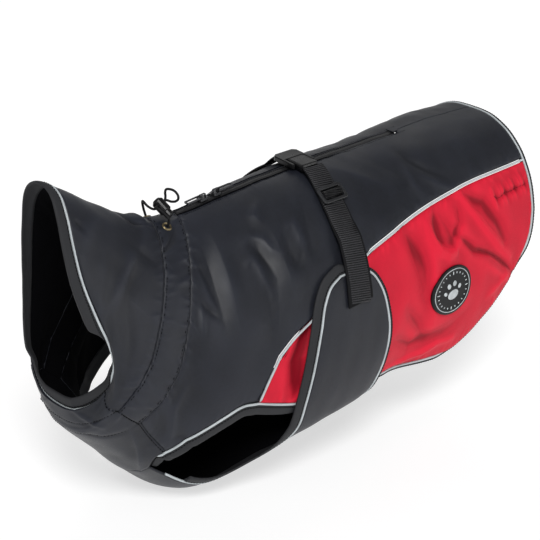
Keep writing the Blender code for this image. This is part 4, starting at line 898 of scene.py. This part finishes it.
def repeated(name, places, ahead, up, unit, finish, slot):
    """One unit on each of many places, as one plain mesh."""
    mesh = bpy.data.meshes.new(name)
    mesh.from_pydata(np.asarray(places).tolist(), [], [])
    for label, values in (("ahead", ahead), ("up", up)):
        layer = mesh.attributes.new(label, "FLOAT_VECTOR", "POINT")
        layer.data.foreach_set("vector", np.asarray(values, np.float32).ravel())
    carrier = bpy.data.objects.new(name + "_carrier", mesh)
    bpy.context.scene.collection.objects.link(carrier)
    nodes = carrier.modifiers.new("follow", "NODES")
    nodes.node_group = FOLLOW
    nodes[UNIT_INPUT] = unit
    nodes[FINISH_INPUT] = CLOTHS[finish]
    made = bpy.data.meshes.new_from_object(carrier.evaluated_get(bpy.context.evaluated_depsgraph_get()))
    carrier.modifiers.clear()
    bpy.data.objects.remove(carrier, do_unlink=True)
    made.materials.clear()
    made.name = name
    piece = put(name, made, finish)
    made.shade_smooth()
    return piece


def unit_mesh(name, rings, sides=8):
    """A unit made of rings along X. A ring is its x, its half sizes in y and z, and its z."""
    bm = bmesh.new()
    loops = []
    for x, wide, high, z in rings:
        loop = []
        for step in range(sides):
            angle = 2 * math.pi * step / sides
            loop.append(bm.verts.new((x * MM, wide * math.cos(angle) * MM, (z + high * math.sin(angle)) * MM)))
        loops.append(loop)
    for one, two in zip(loops, loops[1:]):
        for step in range(sides):
            after = (step + 1) % sides
            bm.faces.new((one[step], one[after], two[after], two[step]))
    bm.faces.new(loops[0][::-1])
    bm.faces.new(loops[-1])
    bmesh.ops.recalc_face_normals(bm, faces=bm.faces)
    mesh = bpy.data.meshes.new(name)
    bm.to_mesh(mesh)
    bm.free()
    return bpy.data.objects.new(name, mesh)


def stitch_unit(length, radius):
    """One stitch, which dips into the cloth at both ends."""
    half = length / 2
    return unit_mesh("stitch_unit", [
        (-half, radius * 0.5, radius * 0.5, -radius * 1.1), (-half * 0.75, radius, radius, -radius * 0.2),
        (-half * 0.3, radius * 1.1, radius, radius * 0.15), (half * 0.3, radius * 1.1, radius, radius * 0.15),
        (half * 0.75, radius, radius, -radius * 0.2), (half, radius * 0.5, radius * 0.5, -radius * 1.1)])


def rib_unit(width, thick, high):
    """A rib of webbing, lying across it: long in Y, so its rings run along Y and are turned."""
    half = width / 2
    unit = unit_mesh("rib_unit", [
        (-half, thick * 0.4, high * 0.4, -high * 0.8), (-half + 0.5, thick, high, 0),
        (0, thick, high, 0.05), (half - 0.5, thick, high, 0), (half, thick * 0.4, high * 0.4, -high * 0.8)], 6)
    unit.data.transform(Matrix.Rotation(math.pi / 2, 4, "Z"))
    return unit


STITCH = stitch_unit(2.5, 0.36)
SMALL_STITCH = stitch_unit(1.9, 0.26)
RIB = rib_unit(WEBBING - 0.4, 0.85, 0.42)
LOOP_RIB = rib_unit(WEBBING - 3.0, 0.7, 0.4)


def resample(points, normals, pitch):
    """Even steps along a line, with the directions ahead and up there."""
    lengths = np.linalg.norm(np.diff(points, axis=0), axis=1)
    done = np.concatenate([[0], np.cumsum(lengths)])
    count = max(2, int(done[-1] / (pitch * MM)))
    at = (np.arange(count) + 0.5) * done[-1] / count

    def read(values, where):
        return np.stack([np.interp(where, done, values[:, axis]) for axis in range(3)], axis=-1)

    middle = read(points, at)
    ahead = read(points, at + 0.3 * MM) - read(points, at - 0.3 * MM)
    return middle, ahead, read(normals, at)


def stitches(name, line, out=0.0, finish="thread", pitch=STITCH_PITCH, unit=STITCH):
    """A row of stitches along a line of stations and turns."""
    station, turn = line[:, 0], line[:, 1]
    points, normals = form(station, turn, out), form_normal(station, turn)
    return repeated(name, *resample(points, normals, pitch), unit, finish, "nylon")


# ---------------------------------------------------------------- edges shared by the pieces

LINES = {}


def cross_seam(station, end, count):
    """A seam from the spine round to an end on the side, where it drops to that end's station."""
    turns = np.linspace(0, end.turn, count * FINE + 1)
    straight = end.turn * 5 / BACK_COLUMNS
    dip = (station - end.station) * np.clip((turns - straight) / (end.turn - straight), 0, 1)
    return np.stack([station - dip, turns], axis=-1)


def cross_line(station, turn, count):
    """A line under the belly at one station."""
    turns = np.linspace(turn, 360 - turn, count * FINE + 1)
    return np.stack([np.full(len(turns), float(station)), turns], axis=-1)


def lay_out_edges():
    """The edge lines that neighbouring panels share."""
    LINES["collar_side"] = edge_line(CHEST_SEAM[:4], COLLAR_ROWS)
    LINES["tunnel_side"] = edge_line(CHEST_SEAM[3:5], TUNNEL_ROWS)
    LINES["back_side"] = edge_line(CHEST_SEAM[4:], CHEST_SEAM_ROWS)
    LINES["chest_hem"] = edge_line(CHEST_HEM, CHEST_HEM_ROWS)
    LINES["leg_hem"] = edge_line(LEG_HEM, LEG_HEM_ROWS)
    LINES["rise"] = edge_line(SEAM_RISE, RISE_ROWS)
    LINES["seam"] = edge_line(SEAM, SEAM_ROWS)
    LINES["side_hem"] = edge_line(SIDE_HEM, SEAM_ROWS)
    LINES["tail_low"] = edge_line(TAIL_LOW, RISE_ROWS)
    turns = np.linspace(0, SEAM[-1].turn, BACK_COLUMNS * FINE + 1)
    LINES["tail_top"] = np.stack([np.full(len(turns), float(TAIL)), turns], axis=-1)
    turns = np.linspace(0, CHEST_SEAM[0].turn, COLLAR_STATIONS * FINE + 1)
    LINES["neck_top"] = np.stack([np.full(len(turns), float(NECK)), turns], axis=-1)
    LINES["tunnel_front"] = cross_seam(TUNNEL_FRONT, CHEST_SEAM[3], COLLAR_STATIONS)
    LINES["tunnel_rear"] = cross_seam(TUNNEL_REAR, CHEST_SEAM[4], COLLAR_STATIONS)


def stem_seam():
    """The seam between the chest panel and the flap's stem, which bends to the rear in its middle."""
    line = cross_line(STEM_EDGE.station, STEM_EDGE.turn, STEM_COLUMNS)
    middle = 1 - np.abs(line[:, 1] - 180) / (180 - STEM_EDGE.turn)
    line[:, 0] += (STEM_MIDDLE.station - STEM_EDGE.station) * smoothstep(middle)
    return line


def line_on_form(line, out=0.0, tuck=None):
    """Points and outward directions along a line of stations and turns."""
    station, turn = line[:, 0], line[:, 1]
    points = form(station, turn, out)
    if tuck is None:
        return points, form_normal(station, turn)
    return points + tuck(station, turn), tucked_normal(station, turn, tuck)


def tucked_normal(station, turn, tuck):
    """The outward direction where a tuck has moved the cloth off the form."""
    step, twist = 1.0, 0.5
    fore, aft = (bare_form(station + way, turn) * MM + tuck(station + way, turn) for way in (step, -step))
    past, before = (bare_form(station, turn + way) * MM + tuck(station, turn + way) for way in (twist, -twist))
    normal = np.cross(past - before, fore - aft)
    return normal / np.linalg.norm(normal, axis=-1, keepdims=True)


def binding_rings(points, normals, across, widths, curl):
    """The round of a folded tape at each point of an edge: out over its face, round and back."""
    outer = np.linspace(0, 1, 9)
    rings = []
    for share in outer:
        foot, lip = BINDING_FOOT * (1 - min(1.0, share * 5)), BINDING_LIP * max(0.0, share * 5 - 4) ** 2
        puff = BINDING_PUFF * math.sin(math.pi * share) - foot - lip
        high = BINDING_OUT - curl * share ** 2 * widths / WIDE_BINDING + puff
        rings.append((BINDING_START + share * widths, high))
    for share in outer[::-1]:
        lip = BINDING_LIP * max(0.0, share * 5 - 4) ** 2
        high = BINDING_OUT - curl * share ** 2 * widths / WIDE_BINDING - BINDING_WALL + lip
        rings.append((BINDING_START + share * widths, high - 0.25 * (1 - share)))
    for reach, high in ((1.5, -2.2), (0.0, -2.25), (-2.4, -2.25), (-2.4, -1.95), (0.0, -1.9), (1.5, -1.75),
                        (BINDING_START - 0.25, -1.2)):
        rings.append((reach, high))
    rings.append(rings[0])
    return np.stack([
        points + across * np.reshape(reach, (-1, 1)) * MM + normals * np.reshape(high, (-1, 1)) * MM
        for reach, high in rings
    ], axis=1)


def finish_edge(name, line, inside, widths, out=0.0, closed=False, tuck=None, curl=BINDING_CURL, skip=0,
                sink=0.0):
    """The piping, the binding and its stitches along an edge. sink rolls them in under the cloth."""
    points, normals = line_on_form(line, out, tuck)
    across = edge_frames(points, normals, closed)
    if (across[len(points) // 2] @ (np.asarray(inside) - points[len(points) // 2])) > 0:
        across = -across
    points = points - (normals + across) * np.reshape(sink, (-1, 1)) * MM
    middle = points + across * PIPING_SEAT * MM + normals * PIPING_DEPTH * MM
    tube(name + "_piping_tube", middle, PIPING_RADIUS, "piping", [name + "_piping"], closed)
    keep = np.s_[skip:len(points) - skip]
    points, normals, across, widths = points[keep], normals[keep], across[keep], widths[keep]
    net = binding_rings(points, normals, across, widths, curl)
    if closed:
        net = np.concatenate([net, net[:1]])
    outer = net[:, :2]
    facing = np.cross(outer[:-1, 1] - outer[:-1, 0], outer[1:, 0] - outer[:-1, 0])
    if np.sum(facing * normals[:len(outer) - 1]) < 0:
        net = net[::-1]
    mesh = net_mesh(name + "_binding_tape", [net], around=True)
    if not closed:
        close_ends(mesh)
    put(name + "_binding_tape", mesh, "binding", [name + "_binding"])
    seat = BINDING_START + np.minimum(1.5, 0.5 * widths)
    share = (seat - BINDING_START) / widths
    high = BINDING_OUT + BINDING_PUFF * np.sin(math.pi * share) - curl * share ** 2 * widths / WIDE_BINDING
    row = points + across * seat[:, None] * MM + normals * high[:, None] * MM
    if closed:
        row, normals = np.concatenate([row, row[:1]]), np.concatenate([normals, normals[:1]])
    repeated(name + "_stitches", *resample(row, normals, EDGE_PITCH), STITCH, "thread", "binding")


def close_ends(mesh):
    """Closes the open ends of a tape."""
    bm = bmesh.new()
    bm.from_mesh(mesh)
    edges = [edge for edge in bm.edges if edge.is_boundary]
    if edges:
        bmesh.ops.holes_fill(bm, edges=edges)
    bm.to_mesh(mesh)
    bm.free()
    mesh.shade_smooth()


# ---------------------------------------------------------------- the cloth pieces

def make_collar():
    """The stand collar, from one chest seam over the neck to the other."""
    side = LINES["collar_side"]
    net = patch(over_spine(LINES["neck_top"]), over_spine(LINES["tunnel_front"]), mirrored(side), side)
    points = net_on_form(net, insets=ALL_SEWN | {"top": 2 * HEM_GAP},
                         puckers=[("low", 1.5, 9, 1), ("top", 0.5, 12, 2)], roll=[("low", 0.8), ("top", 0.3)])
    cloth("collar_shell", [points], "nylon", ["collar"])


def make_tunnel():
    """The band that holds the drawcord, and its two rows of stitches."""
    side = LINES["tunnel_side"]
    front, rear = over_spine(LINES["tunnel_front"]), over_spine(LINES["tunnel_rear"])
    net = patch(front, rear, mirrored(side), side)
    swell = np.sin(np.linspace(0, math.pi, net.shape[1])) * TUNNEL_SWELL
    points = net_on_form(net, out=np.broadcast_to(swell, net.shape[:2]), insets=ALL_SEWN,
                         puckers=[("top", 1.5, 8, 3), ("low", 1.5, 8, 4)], roll=[("top", 0.6), ("low", 0.6)])
    cloth("tunnel_shell", [points], "nylon", ["drawstring_tunnel"], TUNNEL_WALL)
    for name, row, shift in (("front", front, TUNNEL_STITCHES), ("rear", rear, -TUNNEL_STITCHES)):
        stitches("tunnel_stitches_" + name, row + [shift, 0], 0.25)


def fold_named(name):
    """The points of a small fold."""
    return next(fold.points for fold in SMALL_FOLDS if fold.name == name)


def table_line(points, count):
    return edge_line([Edge(*point) for point in points], count)


def make_chest():
    """The chest panel, the stitches of its seams, and those of the channel that runs on over it."""
    side = joined(LINES["collar_side"], LINES["tunnel_side"], LINES["back_side"])
    rear = under_belly(LINES["chest_hem"], stem_seam())
    insets = np.full(len(rear), 2 * HEM_GAP)
    insets[CHEST_HEM_ROWS * FINE + 1:-CHEST_HEM_ROWS * FINE - 1] = SEWN_GAP
    count = STEM_COLUMNS + 2 * CHEST_HEM_ROWS
    net = patch(side, far_side(side), cross_line(NECK, side[0, 1], count), rear)
    points = net_on_form(net, insets=ALL_SEWN | {"front": HEM_GAP, "rear": insets},
                         puckers=[("top", 0.9, 9, 5), ("low", 0.9, 9, 6)], roll=[("top", 0.7), ("low", 0.7)])
    cloth("chest_shell", [points], "nylon", ["chest_panel"])
    for way, seam, shift in (("left", side, CHEST_STITCHES), ("right", far_side(side), -CHEST_STITCHES)):
        stitches("chest_stitches_" + way, seam + [0, shift], 0.1)
    for name in ("channel_front", "channel_rear"):
        stitches(name + "_stitches", under_belly(table_line(fold_named(name), 12)))


def make_back(side_name, side):
    """A black back panel, from the zip to the chest seam, the leg opening and the flank."""
    flip = np.array([1, side])
    low = joined(LINES["back_side"], LINES["leg_hem"], LINES["rise"], LINES["seam"])
    stations = low[:, 0].copy()
    front_end, hem_end = CHEST_SEAM_ROWS * FINE, (CHEST_SEAM_ROWS + LEG_HEM_ROWS) * FINE
    bend = hem_end + RISE_ROWS * FINE
    stations[:bend] = np.interp(np.arange(bend), [0, front_end, hem_end, bend],
                                [TUNNEL_REAR, *SPINE_KNOTS, SEAM[0].station])
    reach = ZIP_WIDTH / 2 + SEAM_GAP
    reach = reach * smoothstep((ZIP_END + ZIP_MEET - stations) / ZIP_MEET_RUN)
    top = np.stack([stations, turn_for(stations, reach)], axis=-1)
    front = cross_seam(TUNNEL_REAR, CHEST_SEAM[4], BACK_COLUMNS)
    front[0, 1] = top[0, 1]
    rear = LINES["tail_top"].copy()
    rear[0, 1] = top[-1, 1]
    rows = np.arange(len(low)) / FINE
    turn_in = CHEST_SEAM_ROWS + LEG_HEM_ROWS
    inset = np.interp(rows, [0, CHEST_SEAM_ROWS - 1, CHEST_SEAM_ROWS, turn_in - 1, turn_in, turn_in + 1],
                      [SEWN_GAP, SEWN_GAP, HEM_GAP, HEM_GAP, 0.9 * SEAM_INSET, SEAM_INSET])
    seed = SEEDS[side_name]
    net = finer(patch(top, low, front, rear), 3, 1) * flip
    points = net_on_form(net, insets={"front": SEWN_GAP, "low": inset},
                         puckers=[("low", 0.9, 7, seed), ("front", 1.4, 9, seed + 1), ("top", 0.4, 10, seed + 2)],
                         roll=[("low", 0.9), ("front", 0.8), ("top", 0.5)], rows=BACK_INSET_ROWS)
    cloth("back_shell_" + side_name, [points], "nylon", ["back_panel_" + side_name])


def make_flank(side_name, side):
    """A red side panel, its stitched dart and ruche, and the piping in the seam over it."""
    flip = np.array([1, side])
    rise, seam = LINES["rise"], LINES["seam"]
    net = finer(finer(patch(seam, LINES["side_hem"], rise[::-1], LINES["tail_low"][::-1]), 2), 3, 1)
    first = np.full(len(rise), 0.9 * SEAM_INSET)
    first[-1] = 0.5 * SEAM_INSET
    first = finer(first, 3)
    seed = SEEDS[side_name]
    puckers = [("top", 1.0, 8, seed + 3), ("rear", 1.0, 8, seed + 4), ("low", 0.9, 10, seed + 5)]
    points = net_on_form(net * flip, insets={"top": SEAM_INSET, "front": first}, puckers=puckers,
                         roll=[("top", 0.7), ("low", 0.3), ("rear", 0.3), ("front", 0.4)], dent=FLAP_DENT,
                         rows=FLANK_INSET_ROWS)
    cloth("side_shell_" + side_name, [points], "red_nylon", ["side_panel_" + side_name])
    shift = [0 if side > 0 else FAR_SHIFT, 0]
    for name in ("dart", "ruche"):
        row = (table_line(fold_named(name), 4) + shift) * flip
        stitches(f"{name}_stitches_{side_name}", row[row[:, 0] < 240], 0.15, "red_thread", SMALL_PITCH,
                 SMALL_STITCH)
    points, _ = line_on_form(joined(rise, seam) * flip, out=SEAM_PIPING_OUT)
    points[0] = points[0] + (points[FINE] - points[0]) * 0.3
    points[-1] = points[-1] + (points[-FINE - 1] - points[-1]) * 0.03
    tube("seam_piping_tube_" + side_name, points, PIPING_RADIUS, "piping",
         ["seam_piping_" + side_name])


def narrowing(share):
    """The width of a binding that goes from wide to thin as its share goes from 0 to 1."""
    return WIDE_BINDING + (THIN_BINDING - WIDE_BINDING) * smoothstep(share)


def finish_hem():
    """The edge round both leg openings, the flanks and the tail."""
    near = joined(LINES["chest_hem"][::-1], LINES["leg_hem"], LINES["side_hem"], LINES["tail_low"],
                  LINES["tail_top"][::-1])
    line = joined(near, mirrored(near)[::-1])
    spread = np.arange(len(near)) / FINE
    widths = narrowing((spread - (CHEST_HEM_ROWS + 1) - LEG_HEM_ROWS) / 3)
    widths = widths * (1 - 0.2 * (1 - smoothstep(spread)))
    rear = smoothstep((near[:, 0] - HEM_ROLL_START) / 20) * smoothstep((HEM_ROLL_END - near[:, 0]) / 16)
    rear = rear * (near[:, 1] > HEM_ROLL_TURN)
    chest = 1.5 * (1 - smoothstep(spread - CHEST_HEM_ROWS + 1.5))
    widths, sink = (np.concatenate([row, row[::-1][1:]]) for row in (widths, HEM_ROLL * (rear + chest)))
    finish_edge("hem", line, form(np.array(150.0), np.array(60.0)), widths, sink=sink)


def finish_neck():
    """The edge round the neck, whose binding shows on the far side's inner face."""
    top = over_spine(LINES["neck_top"])
    low = cross_line(NECK, CHEST_SEAM[0].turn, STEM_COLUMNS + 2 * CHEST_HEM_ROWS)
    line = np.concatenate([top, low[1:-1]])
    inside = form(np.array(-240.0), np.array(0.0))
    facing = np.radians(line[:, 1])
    widths = WIDE_BINDING * (1 - NECK_NARROWED * smoothstep(-1.5 * np.sin(facing)))
    sink = NECK_ROLL * smoothstep((-np.cos(facing) - 0.5) / 0.2)
    finish_edge("neck", line, inside, widths, closed=True, sink=sink)


def belly_tuck(station, turn):
    """The flap leaves the form under the belly, which is drawn up towards the rear."""
    from_spine = 180 - np.abs(180 - np.abs(np.asarray(turn, float)))
    past = smoothstep((from_spine - TUCK_TURN) / TUCK_SPREAD)
    along = smoothstep((np.asarray(station, float) - TUCK_START) / (TUCK_END - TUCK_START))
    rise = past * along * TUCK_HEIGHT * MM
    return np.stack([0 * rise, 0 * rise, rise], axis=-1)


def flap_out(station):
    """How far the flap stands out over the cloth under it."""
    return FLAP_LIFT * smoothstep((np.asarray(station, float) - FLAP_LIFT_START) / FLAP_LIFT_RUN)


def make_flap():
    """The belly flap: a stem from the chest panel and a band round both flanks, with their edge."""
    wing, stem = edge_line(FLAP_FRONT, WING_ROWS), edge_line(STEM_SIDE, STEM_ROWS)
    root = cross_line(*stem[0], STEM_COLUMNS)
    front = under_belly(wing, root)
    rear = under_belly(edge_line(FLAP_REAR, (len(front) - 1) // FINE // 2))
    tip = edge_line([FLAP_FRONT[0], FLAP_REAR[0]], FLAP_COLUMNS)
    band = patch(front, rear, tip, far_side(tip))
    neck = patch(stem, far_side(stem), root, stem_seam())
    cloth("flap_shell", [
        net_on_form(band, flap_out(band[..., 0]), tuck=belly_tuck),
        net_on_form(neck, flap_out(neck[..., 0]), tuck=belly_tuck, insets={"rear": SEWN_GAP}),
    ], "nylon", ["belly_flap"])
    near = joined(stem[::-1], wing[::-1])
    edge = joined(near, tip, rear, far_side(tip)[::-1], far_side(near)[::-1])[FINE:-FINE]
    spread = (np.arange(len(edge)) + FINE) / FINE
    spread = np.minimum(spread, spread[::-1])
    wide = (len(near) - 1) / FINE + 1 + FLAP_COLUMNS // 2
    widths = narrowing((spread - wide + 3) / 4)
    middle = np.array(float(TUCK_START)), np.array(180.0)
    finish_edge("flap", edge, form(*middle) + belly_tuck(*middle), widths, out=flap_out(edge[:, 0]),
                tuck=belly_tuck, curl=FLAP_CURL, skip=FINE)


# ---------------------------------------------------------------- zip, webbing and trimmings

def make_zip():
    """The coated tape, whose two halves meet in a groove over the coil, and its lines of stitches."""
    stations = np.linspace(TUNNEL_REAR + 1, ZIP_END, 160)
    reaches, heights = np.array(ZIP_PROFILE).T
    reaches, heights = np.concatenate([-reaches[::-1], reaches]), np.concatenate([heights[::-1], heights])
    turn = np.sign(reaches) * turn_for(stations[:, None], np.abs(reaches))
    net = np.stack([np.broadcast_to(stations[:, None], turn.shape), turn], axis=-1)
    cloth("zip_film", [net_on_form(net, np.broadcast_to(heights, turn.shape))], "zip", ["zip_tape"],
          THIN_CLOTH, lining=None)
    for name, reach in (("left", ZIP_STITCHES), ("right", -ZIP_STITCHES),
                        ("left_edge", ZIP_EDGE_STITCHES), ("right_edge", -ZIP_EDGE_STITCHES)):
        inner = "edge" in name
        along = np.linspace(TUNNEL_REAR + 4, ZIP_END + (0 if inner else 12), 200)
        turns = np.sign(reach) * turn_for(along, abs(reach))
        stitches("zip_stitches_" + name, np.stack([along, turns], axis=-1), -0.45 if inner else 0.05,
                 pitch=SMALL_PITCH, unit=SMALL_STITCH)


def strap_path(turns, side, lifts, width=WEBBING, columns=9):
    """A net along the strap, lifted over the bare form, and its outward directions."""
    slant = STRAP_SLANT * np.clip((turns - STRAP_SLANT_TURN) / (STRAP_END_TURN - STRAP_SLANT_TURN), 0, 1)
    station = STRAP_STATION + slant[:, None] + np.linspace(-width / 2, width / 2, columns)
    net = np.stack(np.broadcast_arrays(station, turns[:, None] * side), axis=-1)
    normals = form_normal(net[..., 0], net[..., 1])
    edge = np.abs(np.linspace(-1, 1, columns)) ** 6
    lifted = lifts[:, None] - 0.25 * edge[None, :]
    return (bare_form(net[..., 0], net[..., 1]) + normals * lifted[..., None]) * MM, normals


def make_strap(side_name, side, top_turn, top_lift, ramp):
    """Half of the girth strap: a thin tape, and the ribs of its weave."""
    turns = np.linspace(STRAP_END_TURN, top_turn, 150)
    lifts = STRAP_LOW + (STRAP_LIFT - STRAP_LOW) * smoothstep((turns - STRAP_DROP_TURN) / STRAP_DROP_RUN)
    lifts = lifts + (top_lift - STRAP_LOW) * smoothstep(1 - (turns - top_turn) / ramp)
    points, normals = strap_path(turns, side, lifts - 0.2)
    cloth("webbing_" + side_name, [facing_out(points, normals)], "webbing_ground",
          ["strap_" + side_name], WEBBING_WALL - 0.2, lining=None)
    repeated("webbing_ribs_" + side_name, *resample(points[:, 4], normals[:, 4], RIB_PITCH), RIB, "webbing",
             "webbing")


def make_loop():
    """The webbing where it comes up through the adjuster and over its middle bar."""
    turns = np.linspace(ADJUSTER_TURN - LOOP_TURN, ADJUSTER_TURN + LOOP_TURN, 40)
    lifts = LOOP_LOW + LOOP_RISE * np.exp(-((turns - ADJUSTER_TURN) / 1.75) ** 4)
    points, normals = strap_path(turns, 1, lifts, LOOP_WIDTH)
    points = points + np.array([LOOP_SHIFT, 0, 0]) * MM
    cloth("adjuster_loop", [facing_out(points, normals)], "webbing_ground", [], THIN_CLOTH,
          lining=None)
    repeated("adjuster_loop_ribs", *resample(points[:, 4], tilted(points), LOOP_PITCH), LOOP_RIB, "plastic",
             "webbing")


def tilted(points):
    """The outward direction of a strip along its middle, for a strip that bends."""
    along = np.gradient(points[:, 4], axis=0)
    normal = np.cross(along, points[:, 8] - points[:, 0])
    normal *= np.sign(np.sum(normal * [0, -0.4, 1], axis=1, keepdims=True))
    return normal / np.linalg.norm(normal, axis=1, keepdims=True)


def make_patch():
    """The round rubber patch: a rim, a light ring, a ring of ticks and a paw."""
    ends = [bare_form(PATCH_STATION, PATCH_TURN + way) for way in (1, -1)]
    degree = np.linalg.norm(ends[0] - ends[1]) / 2
    top = PATCH_WALL + PATCH_RAISE

    def disc(name, middle, profile, finish="grey_rubber", steps=64, stretch=1.0, angle=0.0, replaces=()):
        """A round or stretched form on the flank, from its profile."""
        radii, heights = np.array(profile, float).T
        turns = np.linspace(0, 2 * math.pi, steps + 1)
        x = np.outer(radii, np.cos(turns)) * stretch
        y = np.outer(radii, np.sin(turns))
        x, y = (x * math.cos(angle) - y * math.sin(angle), x * math.sin(angle) + y * math.cos(angle))
        station, turn = PATCH_STATION + middle[0] + x, PATCH_TURN + (middle[1] + y) / degree
        lift = top + np.broadcast_to(heights[:, None], x.shape)
        points, normals = form(station, turn, lift), form_normal(station, turn)
        mesh = net_mesh(name, [facing_out(points, normals)], around=True)
        return put(name, mesh, finish, replaces)

    disc("patch_disc", (0, 0), PATCH_FACE, "rubber", replaces=["round_patch"])
    disc("patch_ring", (0, 0), PATCH_RING)
    for index in range(TICKS):
        angle = 2 * math.pi * index / TICKS
        at = (TICK_REACH * math.cos(angle), TICK_REACH * math.sin(angle))
        long = SHORT_TICK if index % LONG_TICK_EVERY else LONG_TICK
        disc(f"patch_tick_{index}", at, TICK, steps=10, stretch=long, angle=angle)
    tilt = math.radians(PAW_TILT)
    for index, pad in enumerate(PADS):
        at = (pad.x * math.cos(tilt) - pad.y * math.sin(tilt), pad.x * math.sin(tilt) + pad.y * math.cos(tilt))
        dome = [(0.01, 0.75), (pad.radius * 0.6, 0.65), (pad.radius * 0.9, 0.4), (pad.radius, -0.1)]
        disc(f"patch_paw_{index}", at, dome, steps=28, stretch=pad.stretch, angle=tilt + pad.angle)


def eyelet_point(side, out):
    """A point over the middle of an eyelet, out from its face."""
    turn = side * turn_for(EYELET_STATION, EYELET_REACH)
    point, normal = bare_form(EYELET_STATION, turn), form_normal(EYELET_STATION, turn)
    return Vector((point + normal * (TUNNEL_SWELL + out)) * MM)


def lock_frame():
    """The lock's own directions: along its barrel, across it and beside it."""
    along = Vector(LOCK_AXIS).normalized()
    across = (Vector((1, 0, 0)) - along * along.x).normalized()
    return along, across, along.cross(across)


def make_cord():
    """The drawcord, which leaves the tunnel at the far eyelet and goes back into it at the near one."""
    axes = lock_frame()
    rows = [Vector(LOCK_CENTRE) * MM + sum((axis * size * MM for axis, size in zip(axes, knot)), Vector())
            for knot in (*CORD_IN, *CORD_LOOP, *CORD_OUT)]
    far, near = ([eyelet_point(side, out) for out in (0.6, 4.0)] for side in (-1, 1))
    rows = np.array([*far, *rows, *near[::-1]])
    keys = np.arange(len(rows))
    at = np.linspace(0, keys[-1], CORD_STEPS * keys[-1] + 1)
    points = np.stack([spline(keys, rows[:, axis], at) for axis in range(3)], axis=-1)
    cord = tube("drawcord_braid", points, CORD_DIAMETER / 2, "cord", ["drawcord"], resolution=4)


def dress_nodes():
    """The carried-over hard solids get their finished materials."""
    finishes = {
        "front_slider": "metal", "rear_slider": "metal", "front_slider_pull": "metal", "rear_slider_pull": "metal",
        # The strap adjuster gets the acetal whose lighter colour is a painted highlight.
        "strap_adjuster": "plastic_painted_highlight", "buckle_housing": "plastic", "buckle_prong": "plastic",
        "cord_lock": "plastic", "lock_plunger": "plastic", "eyelet_left": "eyelet", "eyelet_right": "eyelet",
        "zip_end_patch": "nylon",
    }
    for node, finish in finishes.items():
        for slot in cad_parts[node].material_slots:
            slot.material = CLOTHS[finish]


def declare_sheets():
    """Looks up the pieces that are sewn on each panel."""
    for name, flat, area, held, carried_by, sewn_on in SHEETS:
        sewn_on = [bpy.data.objects[piece] for piece in sewn_on]


# ---------------------------------------------------------------- camera, light and floor

def aimed(piece, place, target):
    """Places a camera or a light and turns it to its target."""
    piece.location = place
    piece.rotation_euler = (Vector(target) - Vector(place)).to_track_quat("-Z", "Y").to_euler()
    bpy.context.scene.collection.objects.link(piece)
    return piece


def make_camera():
    """A camera that sees the coat as the photograph does."""
    lens = bpy.data.cameras.new("camera")
    lens.sensor_width = SENSOR
    lens.lens = FOCAL_LENGTH / PHOTO_WIDTH * SENSOR
    turn, rise = math.radians(CAMERA_TURN), math.radians(CAMERA_RISE)
    away = Vector((-math.sin(turn) * math.cos(rise), -math.cos(turn) * math.cos(rise), math.sin(rise)))
    camera = bpy.data.objects.new("camera", lens)
    place = Vector(CAMERA_TARGET) + away * CAMERA_DISTANCE
    bpy.context.scene.camera = aimed(camera, place, CAMERA_TARGET)


def make_light():
    """Broad soft suns, which light the whole floor alike, and a pale room."""
    for sun in SUNS:
        light = bpy.data.lights.new(sun.name, "SUN")
        light.angle = math.radians(sun.spread)
        light.energy = sun.power
        aimed(bpy.data.objects.new(sun.name, light), sun.place, (0, 0, 0))
    world = bpy.data.worlds.new("studio")
    world.use_nodes = True
    world.node_tree.nodes["Background"].inputs["Color"].default_value = (1, 1, 1, 1)
    world.node_tree.nodes["Background"].inputs["Strength"].default_value = ROOM_GLOW
    bpy.context.scene.world = world
    bpy.context.scene.view_settings.view_transform = "Standard"


def make_floor():
    """A wide pale floor just under the coat."""
    low = CAD_BOX[0][2] - FLOOR_GAP
    bm = bmesh.new()
    bmesh.ops.create_circle(bm, cap_ends=True, radius=FLOOR_RADIUS, segments=96)
    bmesh.ops.translate(bm, vec=(0, 0, low), verts=bm.verts)
    mesh = bpy.data.meshes.new("floor")
    bm.to_mesh(mesh)
    bm.free()
    floor = bpy.data.objects.new("floor", mesh)
    graph = Graph("floor_paper", (0.5, 0.5, 0.5), 0.85, Emission_Strength=FLOOR_GLOW)
    graph.shader.inputs["Emission Color"].default_value = (1, 1, 1, 1)
    tone = graph.noise(graph.object_place(), 3, 2)
    graph.colour(graph.mix(graph.levels(tone, 0.3, 0.7), (0.49, 0.49, 0.49, 1), (0.52, 0.52, 0.52, 1)))
    mesh.materials.append(graph.material)
    bpy.context.scene.collection.objects.link(floor)


make_camera()
make_light()
make_floor()
make_cord()
lay_out_edges()
make_collar()
make_tunnel()
make_chest()
for side_name, side in (("left", 1), ("right", -1)):
    make_back(side_name, side)
    make_flank(side_name, side)
finish_hem()
finish_neck()
make_flap()
make_zip()
make_strap("left", 1, LEFT_TOP_TURN, LEFT_TOP_LIFT, LEFT_RAMP)
make_strap("right", -1, RIGHT_TOP_TURN, RIGHT_TOP_LIFT, RIGHT_RAMP)
make_loop()
make_patch()
dress_nodes()
declare_sheets()
